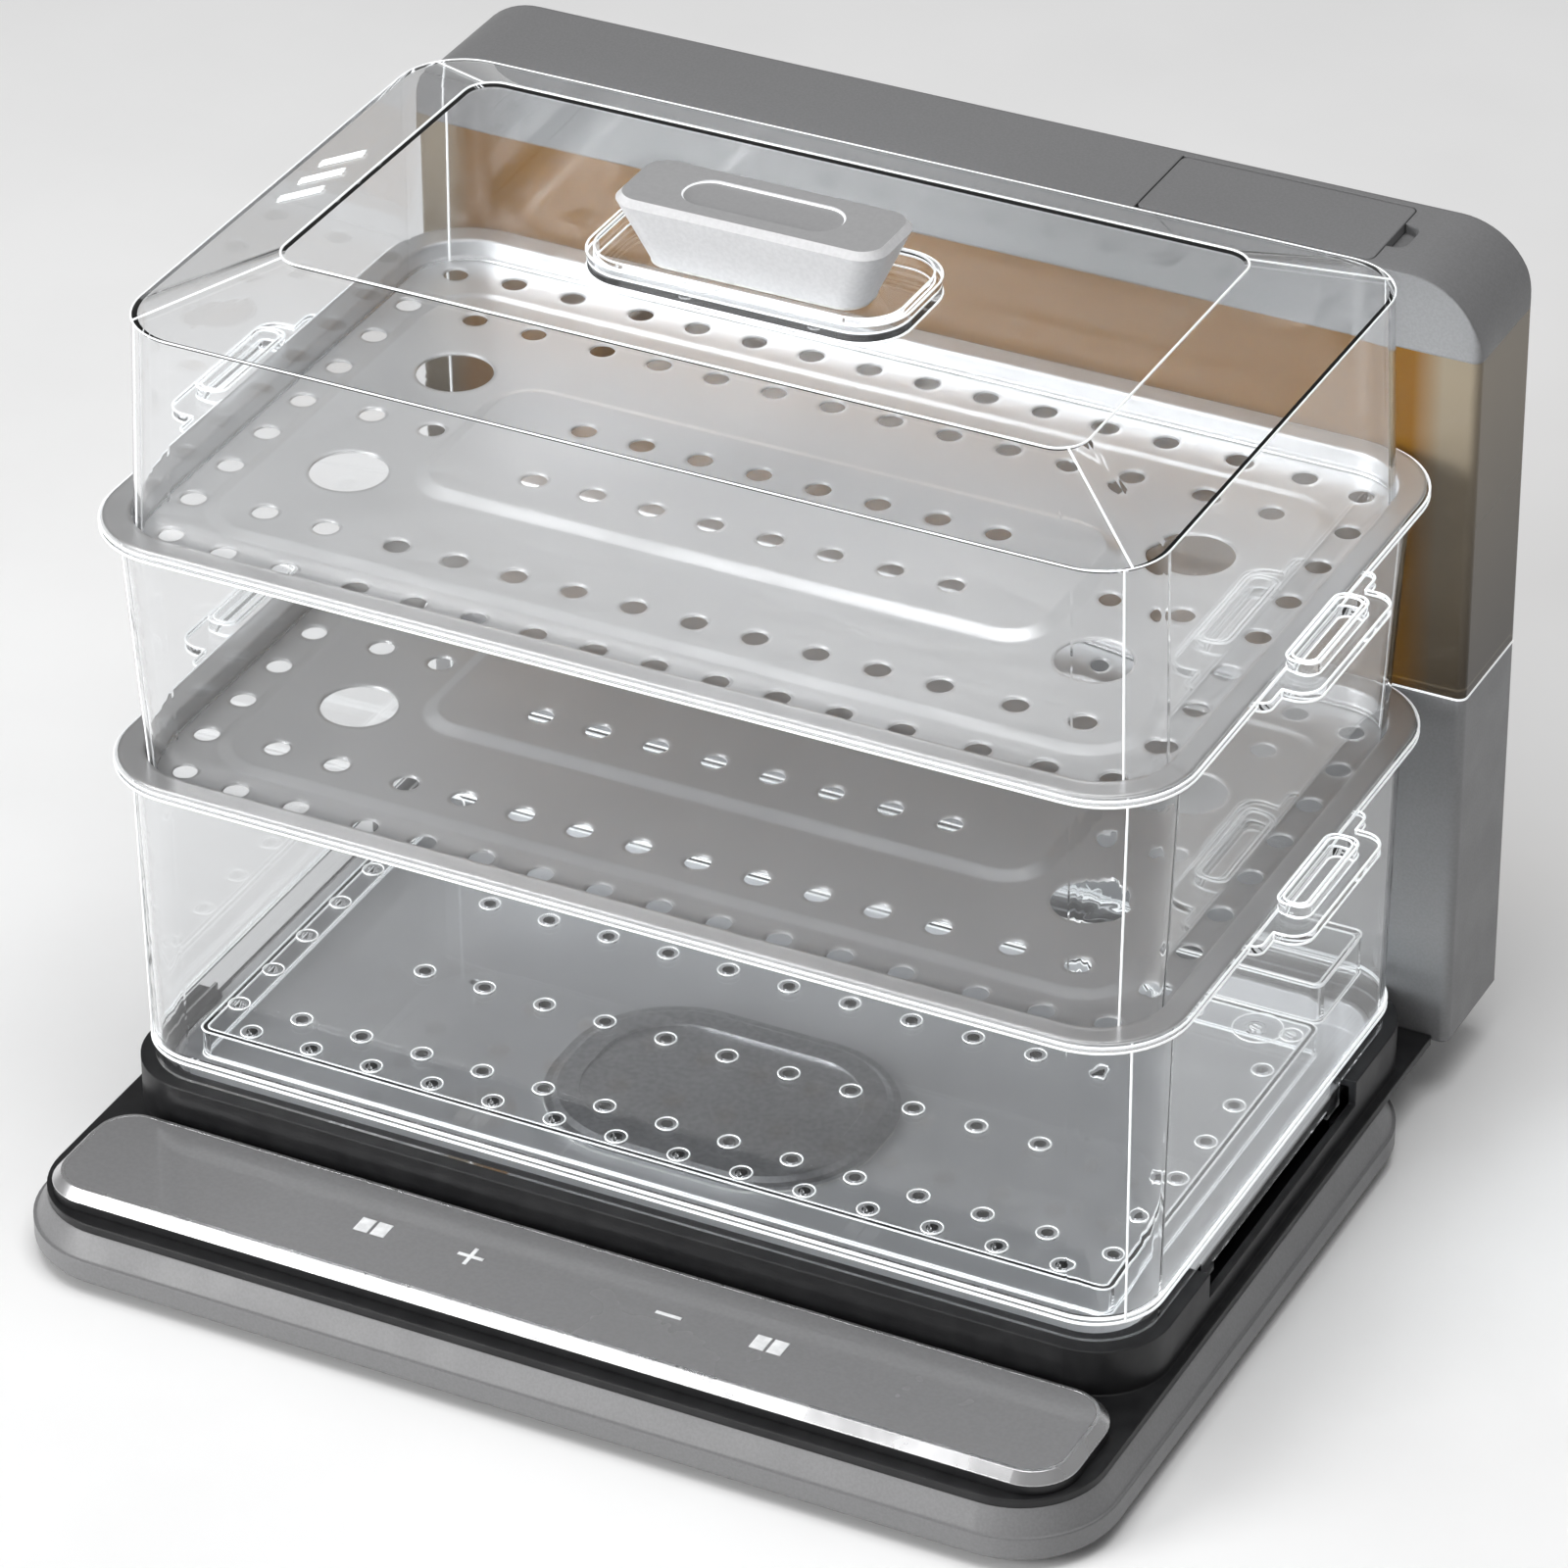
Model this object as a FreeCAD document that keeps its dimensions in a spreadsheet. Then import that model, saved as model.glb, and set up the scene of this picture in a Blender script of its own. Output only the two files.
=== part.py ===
"""Electric food steamer: a heated base with a rear water tower, two clear steaming boxes, two
perforated steel trays and a clear hipped lid, stacked one on another.

Frame: millimetres, +Z up, +Y towards the rear tower. The origin is on the table under the middle
of the footprint. Every driving size is a cell of the sheet "dims", and each piece is an object
whose sizes are expressions of those cells.
"""

import FreeCAD, Part
import math
import os
import re
import Sketcher
from FreeCAD import Vector

doc = FreeCAD.newDocument("food_steamer")
sheet = doc.addObject("Spreadsheet::Sheet", "dims")

# Driving dimensions, in millimetres. Heights named ..._z are above the table.
DIMENSIONS = {
    # whole appliance
    "body_width": 380.0,
    "front_y": -168.0,
    "back_y": 168.0,
    "seam_gap": 0.4,
    "rest_gap": 0.3,
    # tiers: each plan is a rounded rectangle whose depth is its width less this difference
    "tier_middle_y": 7.5,
    "tier_plan_difference": 139.0,
    "clear_wall": 2.2,
    "clear_flange_width": 370.0,
    "clear_flange_thickness": 2.0,
    "clear_flange_radius": 30.0,
    "box_top_width": 359.6,
    "box_top_radius": 25.0,
    "box_foot_width": 350.4,
    "box_foot_radius": 22.0,
    # steel trays
    "steel_thickness": 0.7,
    "tray_flange_width": 368.0,
    "tray_flange_radius": 29.0,
    "tray_wall_width": 352.0,
    "tray_wall_radius": 23.0,
    "tray_channel_depth": 6.6,
    "platform_width": 313.0,
    "platform_depth": 160.0,
    "platform_rise": 1.0,
    "platform_radius": 16.0,
    "platform_slope": 4.5,
    "plateau_width": 212.0,
    "plateau_depth": 66.0,
    "plateau_rise": 1.8,
    "plateau_radius": 12.0,
    "hole_radius": 4.2,
    "hole_pitch": 20.7,
    "outer_hole_x": 118.2,
    "outer_hole_step": 21.8,
    "channel_hole_x": 165.3,
    "channel_hole_y": 94.1,
    "channel_pitch_y": 23.0,
    "corner_hole_x": 160.4,
    "corner_hole_y": 91.4,
    "platform_hole_y": 68.0,
    "large_hole_radius": 12.6,
    "large_hole_x": 129.0,
    "large_hole_y": 34.5,
    "middle_tray_z": 156.0,
    "upper_tray_z": 243.0,
    # lower clear box
    "lower_foot_z": 41.0,
    "lower_foot_width": 355.2,
    "floor_top_z": 50.0,
    "floor_thickness": 2.0,
    "floor_bead": 0.8,
    "rib_width": 324.0,
    "rib_depth": 161.0,
    "rib_middle_y": -9.5,
    "rib_foot_z": 38.0,
    "rib_wall": 2.0,
    "shelf_rise": 15.0,
    "shelf_depth": 36.0,
    "floor_hole_radius": 2.0,
    "floor_ring_radius": 3.5,
    "floor_ring_rise": 0.7,
    "floor_pitch": 22.2,
    "floor_row_y": -85.5,
    "floor_column_x": 156.0,
    "grip_rail_length": 110.0,
    "grip_rail_drop": 5.5,
    "grip_tab_drop": 8.5,
    # ears on both clear boxes
    "ear_reach": 14.0,
    "ear_root_length": 84.0,
    "ear_tip_length": 64.0,
    "ear_thickness": 3.0,
    "ear_slot_length": 40.0,
    "ear_slot_width": 8.0,
    "ear_rim_rise": 4.0,
    # lid
    "lid_foot_width": 350.4,
    "lid_eave_width": 346.0,
    "lid_eave_z": 312.3,
    "lid_roof_width": 271.0,
    "lid_roof_depth": 134.0,
    "lid_roof_z": 327.1,
    "lid_radius": 22.0,
    "lid_roof_radius": 10.0,
    "lid_wall": 2.4,
    "vent_x": -155.1,
    "vent_length": 14.4,
    "vent_width": 2.4,
    "vent_pitch": 13.2,
    "vent_angle": 11.5,
    "handle_dish_depth": 6.0,
    "handle_dish_width": 104.0,
    "handle_dish_depth_y": 46.0,
    "handle_width": 92.0,
    "handle_depth": 32.0,
    "handle_foot_width": 74.0,
    "handle_foot_depth": 20.0,
    "handle_height": 23.1,
    "handle_top_bevel": 2.2,
    "handle_screw_x": 22.0,
    "handle_screw_radius": 1.5,
    "handle_screw_hole_radius": 1.7,
    "handle_screw_head_radius": 2.9,
    "handle_screw_head_height": 1.8,
    "handle_seal_thickness": 0.8,
    "handle_dish_radius": 14.0,
    "inlay_length": 54.0,
    "inlay_width": 17.0,
    "inlay_radius": 8.4,
    "inlay_gap": 0.2,
    "inlay_thickness": 1.2,
    "inlay_recess": 2.0,
    # base
    "foot_height": 4.0,
    "band_top_z": 13.0,
    "shoulder_top_z": 21.0,
    "shoulder_inset": 5.0,
    "base_radius": 34.0,
    "base_end_y": 109.0,
    "pedestal_width": 320.0,
    "base_wall": 2.5,
    "deck_top_z": 24.0,
    "collar_width": 364.0,
    "collar_top_z": 40.6,
    "basin_width": 344.0,
    "basin_floor_z": 27.0,
    "basin_lip_rise": 9.4,
    "basin_wall": 1.2,
    "basin_lip_overhang": 2.0,
    "plate_width": 116.0,
    "plate_depth": 86.0,
    "plate_radius": 38.0,
    "plate_x": -5.0,
    "plate_y": -17.0,
    # control bar
    "panel_width": 360.0,
    "panel_front_y": -158.2,
    "panel_back_y": -107.6,
    "panel_top_z": 31.0,
    "panel_radius": 16.0,
    "trim_height": 3.4,
    "trim_bevel": 3.0,
    "glass_inset": 4.2,
    "glass_thickness": 1.6,
    "control_board_thickness": 1.2,
    "icon_height": 0.15,
    "icon_y": -132.4,
    "icon_step_x": 35.0,
    # rear tower and tank
    "tower_front_y": 123.8,
    "tower_foot_z": 22.0,
    "tower_wall": 2.6,
    "tank_foot_z": 154.0,
    "tank_wall": 2.4,
    "cap_foot_z": 277.3,
    "cap_top_z": 303.7,
    "cap_corner_radius": 25.5,
    "fill_lid_left_x": 70.5,
    "fill_lid_right_x": 151.0,
    "fill_lid_front_y": 127.2,
    "fill_lid_back_y": 164.6,
    "fill_lid_thickness": 3.4,
    "hinge_inset": 3.1,
    "hinge_pin_radius": 0.9,
    "valve_x": -110.0,
    "valve_y": 146.0,
    "cord_x": 120.0,
    "cord_z": 60.0,
    "cord_hole_radius": 3.6,
    "hose_radius": 3.8,
    "hose_bore_radius": 2.6,
    "port_radius": 2.5,
    "port_bore_radius": 1.6,
    # hoses and pump
    "hose_z": 15.0,
    "inlet_bend": 12.0,
    "outlet_bend": 6.0,
    "outlet_y": 14.0,
    "pump_radius": 8.6,
    "pump_head_radius": 8.8,
    # underside: cover plate, feet, board posts and screws
    "cover_thickness": 2.0,
    "foot_radius": 9.0,
    "foot_peg_radius": 2.5,
    "board_post_radius": 3.0,
    "board_thickness": 1.6,
    "deck_post_radius": 4.0,
    "screw_hole_radius": 1.8,
    "screw_head_radius": 3.0,
    "screw_head_height": 1.6,
    "screw_slot_width": 0.9,
    "screw_slot_length": 4.0,
    "screw_slot_depth": 0.8,
    # dock in the tower's top and the tank's valve
    "cup_radius": 14.8,
    "cup_bore_radius": 12.6,
    "cup_depth": 14.0,
    "valve_tube_radius": 10.0,
    "valve_bore_radius": 8.0,
    "plunger_radius": 2.2,
    # screws that hold the tower's back cover
    "tower_post_radius": 4.0,
    "tower_post_length": 14.0,
    "pilot_radius": 1.6,
    # the tank's filling throat and its plug
    "throat_length": 54.0,
    "throat_width": 26.0,
    "throat_x": 86.0,
    "throat_y": 133.0,
    "plug_gap": 0.8,
    "plug_wall": 2.0,
}

for row, (alias, size) in enumerate(DIMENSIONS.items(), start=1):
    sheet.set("A%d" % row, alias)
    sheet.set("B%d" % row, str(size))
    sheet.setAlias("B%d" % row, alias)
scratch = doc.addObject("Spreadsheet::Sheet", "scratch")
doc.recompute()

TIER_MIDDLE = (0, "tier_middle_y", 0)
pieces = {}


def expression(text):
    """The sheet's form of a size: every alias in it becomes dims.alias."""
    return re.sub(r"[a-z_]+", lambda m: "dims." + m[0] if m[0] in DIMENSIONS else m[0], str(text))


def number(text):
    """The present value of a size, worked out by a cell of the scratch sheet."""
    if isinstance(text, (int, float)):
        return float(text)
    scratch.set("A1", "=" + expression(text))
    scratch.recompute()
    return float(scratch.A1)


def bind(thing, prop, text):
    """Tie one property to the sheet."""
    thing.setExpression(prop, expression(text))


def place(thing, corner):
    """Tie an object's position to the sheet."""
    for axis, text in zip("xyz", corner):
        bind(thing, "Placement.Base." + axis, text)


def keep(thing, label):
    """Name an object as a finished piece of the appliance."""
    thing.Label = label
    pieces[label] = thing
    return thing


# ---- Part primitives -------------------------------------------------------------------------


def box(size, corner):
    made = doc.addObject("Part::Box", "box")
    for prop, text in zip(("Length", "Width", "Height"), size):
        bind(made, prop, text)
    place(made, corner)
    return made


TURN_TO = {
    "x": FreeCAD.Rotation(Vector(0, 1, 0), 90),
    "y": FreeCAD.Rotation(Vector(1, 0, 0), -90),
    "z": FreeCAD.Rotation(),
}


def rod(radius, length, start, along="z"):
    """A cylinder from its start point along +X, +Y or +Z."""
    made = doc.addObject("Part::Cylinder", "rod")
    bind(made, "Radius", radius)
    bind(made, "Height", length)
    made.Placement = FreeCAD.Placement(Vector(), TURN_TO[along])
    place(made, start)
    return made


def torus(ring, section, middle):
    made = doc.addObject("Part::Torus", "torus")
    bind(made, "Radius1", ring)
    bind(made, "Radius2", section)
    place(made, middle)
    return made


def fuse(things):
    made = doc.addObject("Part::MultiFuse", "fuse")
    made.Shapes = things
    made.Refine = True
    return made


def cut(thing, tools):
    made = doc.addObject("Part::Cut", "cut")
    made.Base = thing
    made.Tool = tools[0] if len(tools) == 1 else fuse(tools)
    return made


def common(first, second):
    made = doc.addObject("Part::MultiCommon", "common")
    made.Shapes = [first, second]
    return made


def group(things):
    made = doc.addObject("Part::Compound", "group")
    made.Links = things
    return made


def round_edges(thing, radius, chosen):
    """Part::Fillet on the edges whose bounding boxes pass the test."""
    doc.recompute()
    edges = [i + 1 for i, edge in enumerate(thing.Shape.Edges) if chosen(edge.BoundBox)]
    made = doc.addObject("Part::Fillet", "rounding")
    made.Base = thing
    made.Edges = [(i, radius, radius) for i in edges]
    return made


def upright(bounds):
    return bounds.ZLength > 0.5 and bounds.XLength < 0.01 and bounds.YLength < 0.01


def across_y(bounds):
    return bounds.YLength > 0.5 and bounds.ZLength < 0.01 and bounds.XLength < 0.01


# ---- PartDesign bodies -----------------------------------------------------------------------


class Piece:
    """A PartDesign body built from sketches on planes parallel to XY."""

    def __init__(self, label, middle=(0, 0, 0)):
        self.body = doc.addObject("PartDesign::Body", label)
        place(self.body, middle)
        keep(self.body, label)

    def sketch(self, height, shift_y=0):
        made = self.body.newObject("Sketcher::SketchObject", "profile")
        plane = next(f for f in self.body.Origin.OriginFeatures if f.Role == "XY_Plane")
        made.AttachmentSupport = [(plane, "")]
        made.MapMode = "FlatFace"
        bind(made, "AttachmentOffset.Base.z", height)
        bind(made, "AttachmentOffset.Base.y", shift_y)
        return made

    def outline(self, height, width, depth, radius, shift_y=0):
        """A sketch of a rounded rectangle with its three sizes tied to the sheet."""
        made = self.sketch(height, shift_y)
        x = number(width) / 2
        y = number(depth) / 2
        r = number(radius)
        corners = ((x, y, 0), (-x, y, 90), (-x, -y, 180), (x, -y, 270))
        turns = []
        for cx, cy, start in corners:
            middle = Vector(cx - math.copysign(r, cx), cy - math.copysign(r, cy), 0)
            ring = Part.Circle(middle, Vector(0, 0, 1), r)
            arc = Part.ArcOfCircle(ring, math.radians(start), math.radians(start + 90))
            turns.append(made.addGeometry(arc, False))
        sides = []
        for i in range(4):
            first = made.getPoint(turns[i], 2)
            last = made.getPoint(turns[(i + 1) % 4], 1)
            sides.append(made.addGeometry(Part.LineSegment(first, last), False))
        for i in range(4):
            made.addConstraint(Sketcher.Constraint("Tangent", turns[i], 2, sides[i], 1))
            made.addConstraint(Sketcher.Constraint("Tangent", sides[i], 2, turns[(i + 1) % 4], 1))
            if i:
                made.addConstraint(Sketcher.Constraint("Equal", turns[0], turns[i]))
        made.addConstraint(Sketcher.Constraint("Horizontal", sides[0]))
        made.addConstraint(Sketcher.Constraint("Horizontal", sides[2]))
        made.addConstraint(Sketcher.Constraint("Vertical", sides[1]))
        made.addConstraint(Sketcher.Constraint("Vertical", sides[3]))
        made.addConstraint(Sketcher.Constraint("Symmetric", turns[0], 3, turns[2], 3, -1, 1))
        tie = made.addConstraint(Sketcher.Constraint("Radius", turns[0], r))
        made.renameConstraint(tie, "corner")
        tie = made.addConstraint(Sketcher.Constraint("DistanceX", turns[1], 3, turns[0], 3, 2 * (x - r)))
        made.renameConstraint(tie, "across")
        tie = made.addConstraint(Sketcher.Constraint("DistanceY", turns[3], 3, turns[0], 3, 2 * (y - r)))
        made.renameConstraint(tie, "along")
        bind(made, "Constraints.corner", radius)
        bind(made, "Constraints.across", "(%s) - 2 * (%s)" % (width, radius))
        bind(made, "Constraints.along", "(%s) - 2 * (%s)" % (depth, radius))
        return made

    def circles(self, height, radius, centres):
        """A sketch of equal circles, each centre tied to the sheet."""
        made = self.sketch(height)
        rings = []
        for i, (x, y) in enumerate(centres):
            ring = Part.Circle(Vector(number(x), number(y), 0), Vector(0, 0, 1), number(radius))
            rings.append(made.addGeometry(ring, False))
            for kind, axis, text in (("DistanceX", "x", x), ("DistanceY", "y", y)):
                tie = made.addConstraint(Sketcher.Constraint(kind, -1, 1, rings[i], 3, number(text)))
                made.renameConstraint(tie, "%s%d" % (axis, i))
                bind(made, "Constraints.%s%d" % (axis, i), text)
            if i:
                made.addConstraint(Sketcher.Constraint("Equal", rings[0], rings[i]))
        tie = made.addConstraint(Sketcher.Constraint("Radius", rings[0], number(radius)))
        made.renameConstraint(tie, "ring")
        bind(made, "Constraints.ring", radius)
        return made

    def feature(self, kind, profile):
        made = self.body.newObject("PartDesign::" + kind, kind.lower())
        made.Profile = profile
        self.body.Tip = made
        return made

    def loft(self, kind, sections):
        """AdditiveLoft or SubtractiveLoft through (height, width, depth, radius) sections."""
        outlines = [self.outline(*section) for section in sections]
        made = self.feature(kind, outlines[0])
        made.Sections = outlines[1:]
        made.Ruled = True
        for outline in outlines:
            outline.Visibility = False
        doc.recompute()
        return made

    def solid(self, *sections):
        return self.loft("AdditiveLoft", sections)

    def hollow(self, *sections):
        return self.loft("SubtractiveLoft", sections)

    def pad(self, profile, height):
        made = self.feature("Pad", profile)
        bind(made, "Length", height)
        doc.recompute()
        return made

    def pocket(self, profile, depth):
        """Cut upwards from the profile, and make sure that it did cut."""
        before = self.body.Shape.Volume
        made = self.feature("Pocket", profile)
        made.Reversed = True
        bind(made, "Length", depth)
        doc.recompute()
        if made.Shape.Volume >= before - 1e-6:
            raise RuntimeError("a pocket of %s cut nothing" % self.body.Label)
        return made

    def repeat(self, feature, axis, pitch, count):
        """Repeat a feature along the body's own X or Y axis."""
        made = self.body.newObject("PartDesign::LinearPattern", "row")
        made.Originals = [feature]
        line = next(f for f in self.body.Origin.OriginFeatures if f.Role == axis + "_Axis")
        made.Direction = (line, [""])
        bind(made, "Length", "(%s) * %d" % (pitch, count - 1))
        made.Occurrences = count
        self.body.Tip = made
        doc.recompute()
        return made


def tier_depth(width):
    return "(%s) - tier_plan_difference" % width


# ---- clear boxes -----------------------------------------------------------------------------


def ear(side, top, blank):
    """A flat loop grip on one side of a clear box: side is 1 on the right and -1 on the left."""
    flange_half = "clear_flange_width / 2"
    middle_x = "(%s + ear_reach / 2 - 4) * %d" % (flange_half, side)
    size_x = "ear_reach + 8"
    corner_x = "%s - (%s) / 2" % (middle_x, size_x)
    low = "(%s) - ear_thickness" % top
    if blank:
        plate = box((size_x, "ear_tip_length", "ear_thickness"),
                    (corner_x, "tier_middle_y - ear_tip_length / 2", low))
        plate = round_edges(plate, 7.0, lambda b: upright(b) and b.Center.x * side > 190)
        root = box(("ear_reach / 2", "ear_root_length", "ear_thickness"),
                   ("%s * %d - ear_reach / 4" % (flange_half, side),
                    "tier_middle_y - ear_root_length / 2", low))
        root = round_edges(root, 3.4, lambda b: upright(b) and b.Center.x * side > 185)
        rim = box(("ear_slot_width + 3", "ear_slot_length + 3", "ear_thickness + ear_rim_rise"),
                  ("%s + %d * 1.5 - ear_slot_width / 2 - 1.5" % (middle_x, side),
                   "tier_middle_y - ear_slot_length / 2 - 1.5", low))
        rim = round_edges(rim, 4.0, upright)
        return [plate, root, rim]
    slot = box(("ear_slot_width", "ear_slot_length", "ear_thickness + ear_rim_rise + 2"),
               ("%s + %d * 1.5 - ear_slot_width / 2" % (middle_x, side),
                "tier_middle_y - ear_slot_length / 2", "%s - 1" % low))
    return [round_edges(slot, 3.4, upright)]


def clear_wall_sections(low, low_width, low_radius, high, high_width, high_radius, inset=0):
    sections = []
    for z, width, radius in ((low, low_width, low_radius), (high, high_width, high_radius)):
        narrow = "%s - %s" % (width, inset)
        sections.append((z, narrow, tier_depth(narrow), "%s - (%s) / 2" % (radius, inset)))
    return sections


def finish_clear_box(shell, flange_top, label, extra=()):
    """Add the ears and cut their finger slots."""
    top = "%s - 0.6" % flange_top
    blanks = ear(1, top, True) + ear(-1, top, True)
    joined = fuse([shell.body] + blanks + list(extra))
    shell.body.Label = label + "_shell_body"
    pieces.pop(label)
    return keep(cut(joined, ear(1, top, False) + ear(-1, top, False)), label)


def middle_clear_box():
    """An open frame of four drafted walls with a flange to carry the upper tray."""
    foot = "middle_tray_z - tray_channel_depth + rest_gap"
    top = "upper_tray_z - steel_thickness - rest_gap"
    shell = Piece("middle_clear_box", TIER_MIDDLE)
    wall = (foot, "box_foot_width", "box_foot_radius", top, "box_top_width", "box_top_radius")
    shell.solid(*clear_wall_sections(*wall))
    flange = shell.outline("%s - clear_flange_thickness" % top, "clear_flange_width",
                           tier_depth("clear_flange_width"), "clear_flange_radius")
    shell.pad(flange, "clear_flange_thickness")
    shell.hollow(*clear_wall_sections(*wall, inset="2 * clear_wall"))
    finish_clear_box(shell, top, "middle_clear_box")


def lower_clear_box():
    """The walls of the bottom box, with the bead round its foot and a grip rail hanging under
    each side.  The box is one moulding: its floor, rim and shelf are nodes of their own only so
    that each is a simpler solid."""
    top = "middle_tray_z - steel_thickness - rest_gap"
    shell = Piece("lower_clear_box", TIER_MIDDLE)
    wall = ("lower_foot_z", "lower_foot_width", "box_foot_radius", top, "box_top_width",
            "box_top_radius")
    shell.solid(*clear_wall_sections(*wall))
    flange = shell.outline("%s - clear_flange_thickness" % top, "clear_flange_width",
                           tier_depth("clear_flange_width"), "clear_flange_radius")
    shell.pad(flange, "clear_flange_thickness")
    bead_width = "lower_foot_width + 2 * floor_bead"
    bead = shell.outline("floor_top_z - floor_thickness", bead_width, tier_depth(bead_width),
                         "box_foot_radius + floor_bead")
    shell.pad(bead, "floor_thickness")
    shell.hollow(*clear_wall_sections(*wall, inset="2 * clear_wall"))
    finish_clear_box(shell, top, "lower_clear_box", extra=[grip_rail(1), grip_rail(-1)])


def lower_box_floor():
    """The perforated floor, the rim under it that locates the box in the basin, and the raised
    shelf along its rear."""
    inside = "lower_foot_width - 2 * clear_wall"
    plate = Piece("lower_floor", TIER_MIDDLE)
    plate.pad(plate.outline("floor_top_z - floor_thickness", inside, tier_depth(inside),
                            "box_foot_radius - clear_wall"), "floor_thickness")
    middle_y = "(lower_foot_width - tier_plan_difference) / 2 - clear_wall - shelf_depth / 2"
    hollow = ("rib_width - 2 * rib_wall", "shelf_depth - 2 * rib_wall", 2, middle_y)
    plate.pocket(plate.outline("floor_top_z - floor_thickness", *hollow), "floor_thickness")
    perforate_floor(plate)
    rim = Piece("locating_rim", TIER_MIDDLE)
    drop = "floor_top_z - floor_thickness - rib_foot_z"
    rim.pad(rim.outline("rib_foot_z", "rib_width", "rib_depth", 4, "rib_middle_y"), drop)
    rim.pocket(rim.outline("rib_foot_z", "rib_width - 2 * rib_wall", "rib_depth - 2 * rib_wall",
                           2.5, "rib_middle_y"), drop)
    shelf = Piece("rear_shelf", TIER_MIDDLE)
    shelf.pad(shelf.outline("floor_top_z", "rib_width", "shelf_depth - seam_gap", 3, middle_y),
              "shelf_rise")
    shelf.pocket(shelf.outline("floor_top_z", *hollow), "shelf_rise - rib_wall")


def ringed_row(shell, centres, axis, count):
    """A row of drain holes, each with a raised ring round it."""
    ring = shell.pad(shell.circles("floor_top_z", "floor_ring_radius", centres),
                     "floor_ring_rise")
    shell.repeat(ring, axis, "floor_pitch", count)
    hole = shell.pocket(shell.circles("floor_top_z - floor_thickness - 1", "floor_hole_radius",
                                      centres), "floor_thickness + 3")
    shell.repeat(hole, axis, "floor_pitch", count)


def perforate_floor(shell):
    along_x = 14
    start_x = "-floor_pitch * 6.5"
    ringed_row(shell, [(start_x, "floor_row_y"), (start_x, "floor_row_y + 6.5 * floor_pitch")],
               "X", along_x)
    inner_x = "-floor_pitch * 6"
    ringed_row(shell, [(inner_x, "floor_row_y + 0.6 * floor_pitch")], "X", along_x - 1)
    column_y = "floor_row_y + 0.55 * floor_pitch"
    ringed_row(shell, [("-floor_column_x", column_y), ("floor_column_x", column_y)], "Y", 7)
    middle_y = "floor_row_y + 2.5 * floor_pitch"
    ringed_row(shell, [("-floor_pitch * 5", middle_y),
                       ("-floor_pitch * 5", "floor_row_y + 4.5 * floor_pitch")], "X", 11)


def grip_rail(side):
    """A rail hanging under the skirt, with a tab at each end, to grip the box by."""
    inner_x = "(lower_foot_width / 2 - clear_wall) * %d - (1 - %d) / 2 * clear_wall" % (side, side)
    low = "lower_foot_z - grip_rail_drop"
    rail = box(("clear_wall", "grip_rail_length", "grip_rail_drop + 1"),
               (inner_x, "tier_middle_y - grip_rail_length / 2", low))
    tabs = []
    for end in (-1, 1):
        tab_y = "tier_middle_y + %d * (grip_rail_length / 2 - 5) - 5" % end
        tabs.append(box(("clear_wall", 10, "grip_tab_drop + 1"),
                        (inner_x, tab_y, "lower_foot_z - grip_tab_drop")))
    return fuse([rail] + tabs)


# ---- steel trays -----------------------------------------------------------------------------


def steel_tray(label, flange_top):
    """A pressed sheet: flat flange, wall down to a perforated channel, raised platform with a
    second plateau in its middle."""
    tray = Piece(label, TIER_MIDDLE)
    sheet_metal = "steel_thickness"
    channel = "%s - tray_channel_depth" % flange_top
    outer = "tray_wall_width + 2 * %s" % sheet_metal
    tray.pad(tray.outline("%s - %s" % (channel, sheet_metal), outer, tier_depth(outer),
                          "tray_wall_radius + %s" % sheet_metal),
             "tray_channel_depth + %s" % sheet_metal)
    tray.pad(tray.outline("%s - %s" % (flange_top, sheet_metal), "tray_flange_width",
                          tier_depth("tray_flange_width"), "tray_flange_radius"), sheet_metal)
    tray.pocket(tray.outline(channel, "tray_wall_width", tier_depth("tray_wall_width"),
                             "tray_wall_radius"), "tray_channel_depth + 1")
    raise_island(tray, channel, "platform")
    raise_island(tray, "%s + platform_rise" % channel, "plateau")
    perforate_tray(tray, "%s - 3" % channel)


def raise_island(tray, base, name):
    """Raise a sloped island from the sheet, hollow underneath."""
    spread = "2 * platform_slope"
    plan = (name + "_width", name + "_depth")
    foot = ["%s + %s" % (size, spread) for size in plan]
    radius = name + "_radius"
    tray.solid((base, foot[0], foot[1], "%s + platform_slope" % radius),
               ("%s + %s_rise" % (base, name), plan[0], plan[1], radius))
    thin = "steel_thickness"
    tray.hollow(("%s - %s" % (base, thin), "%s - %s" % (foot[0], thin),
                 "%s - %s" % (foot[1], thin), "%s + platform_slope - %s / 2" % (radius, thin)),
                ("%s + %s_rise - %s" % (base, name, thin), "%s - %s" % (plan[0], thin),
                 "%s - %s" % (plan[1], thin), "%s - %s / 2" % (radius, thin)))


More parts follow.
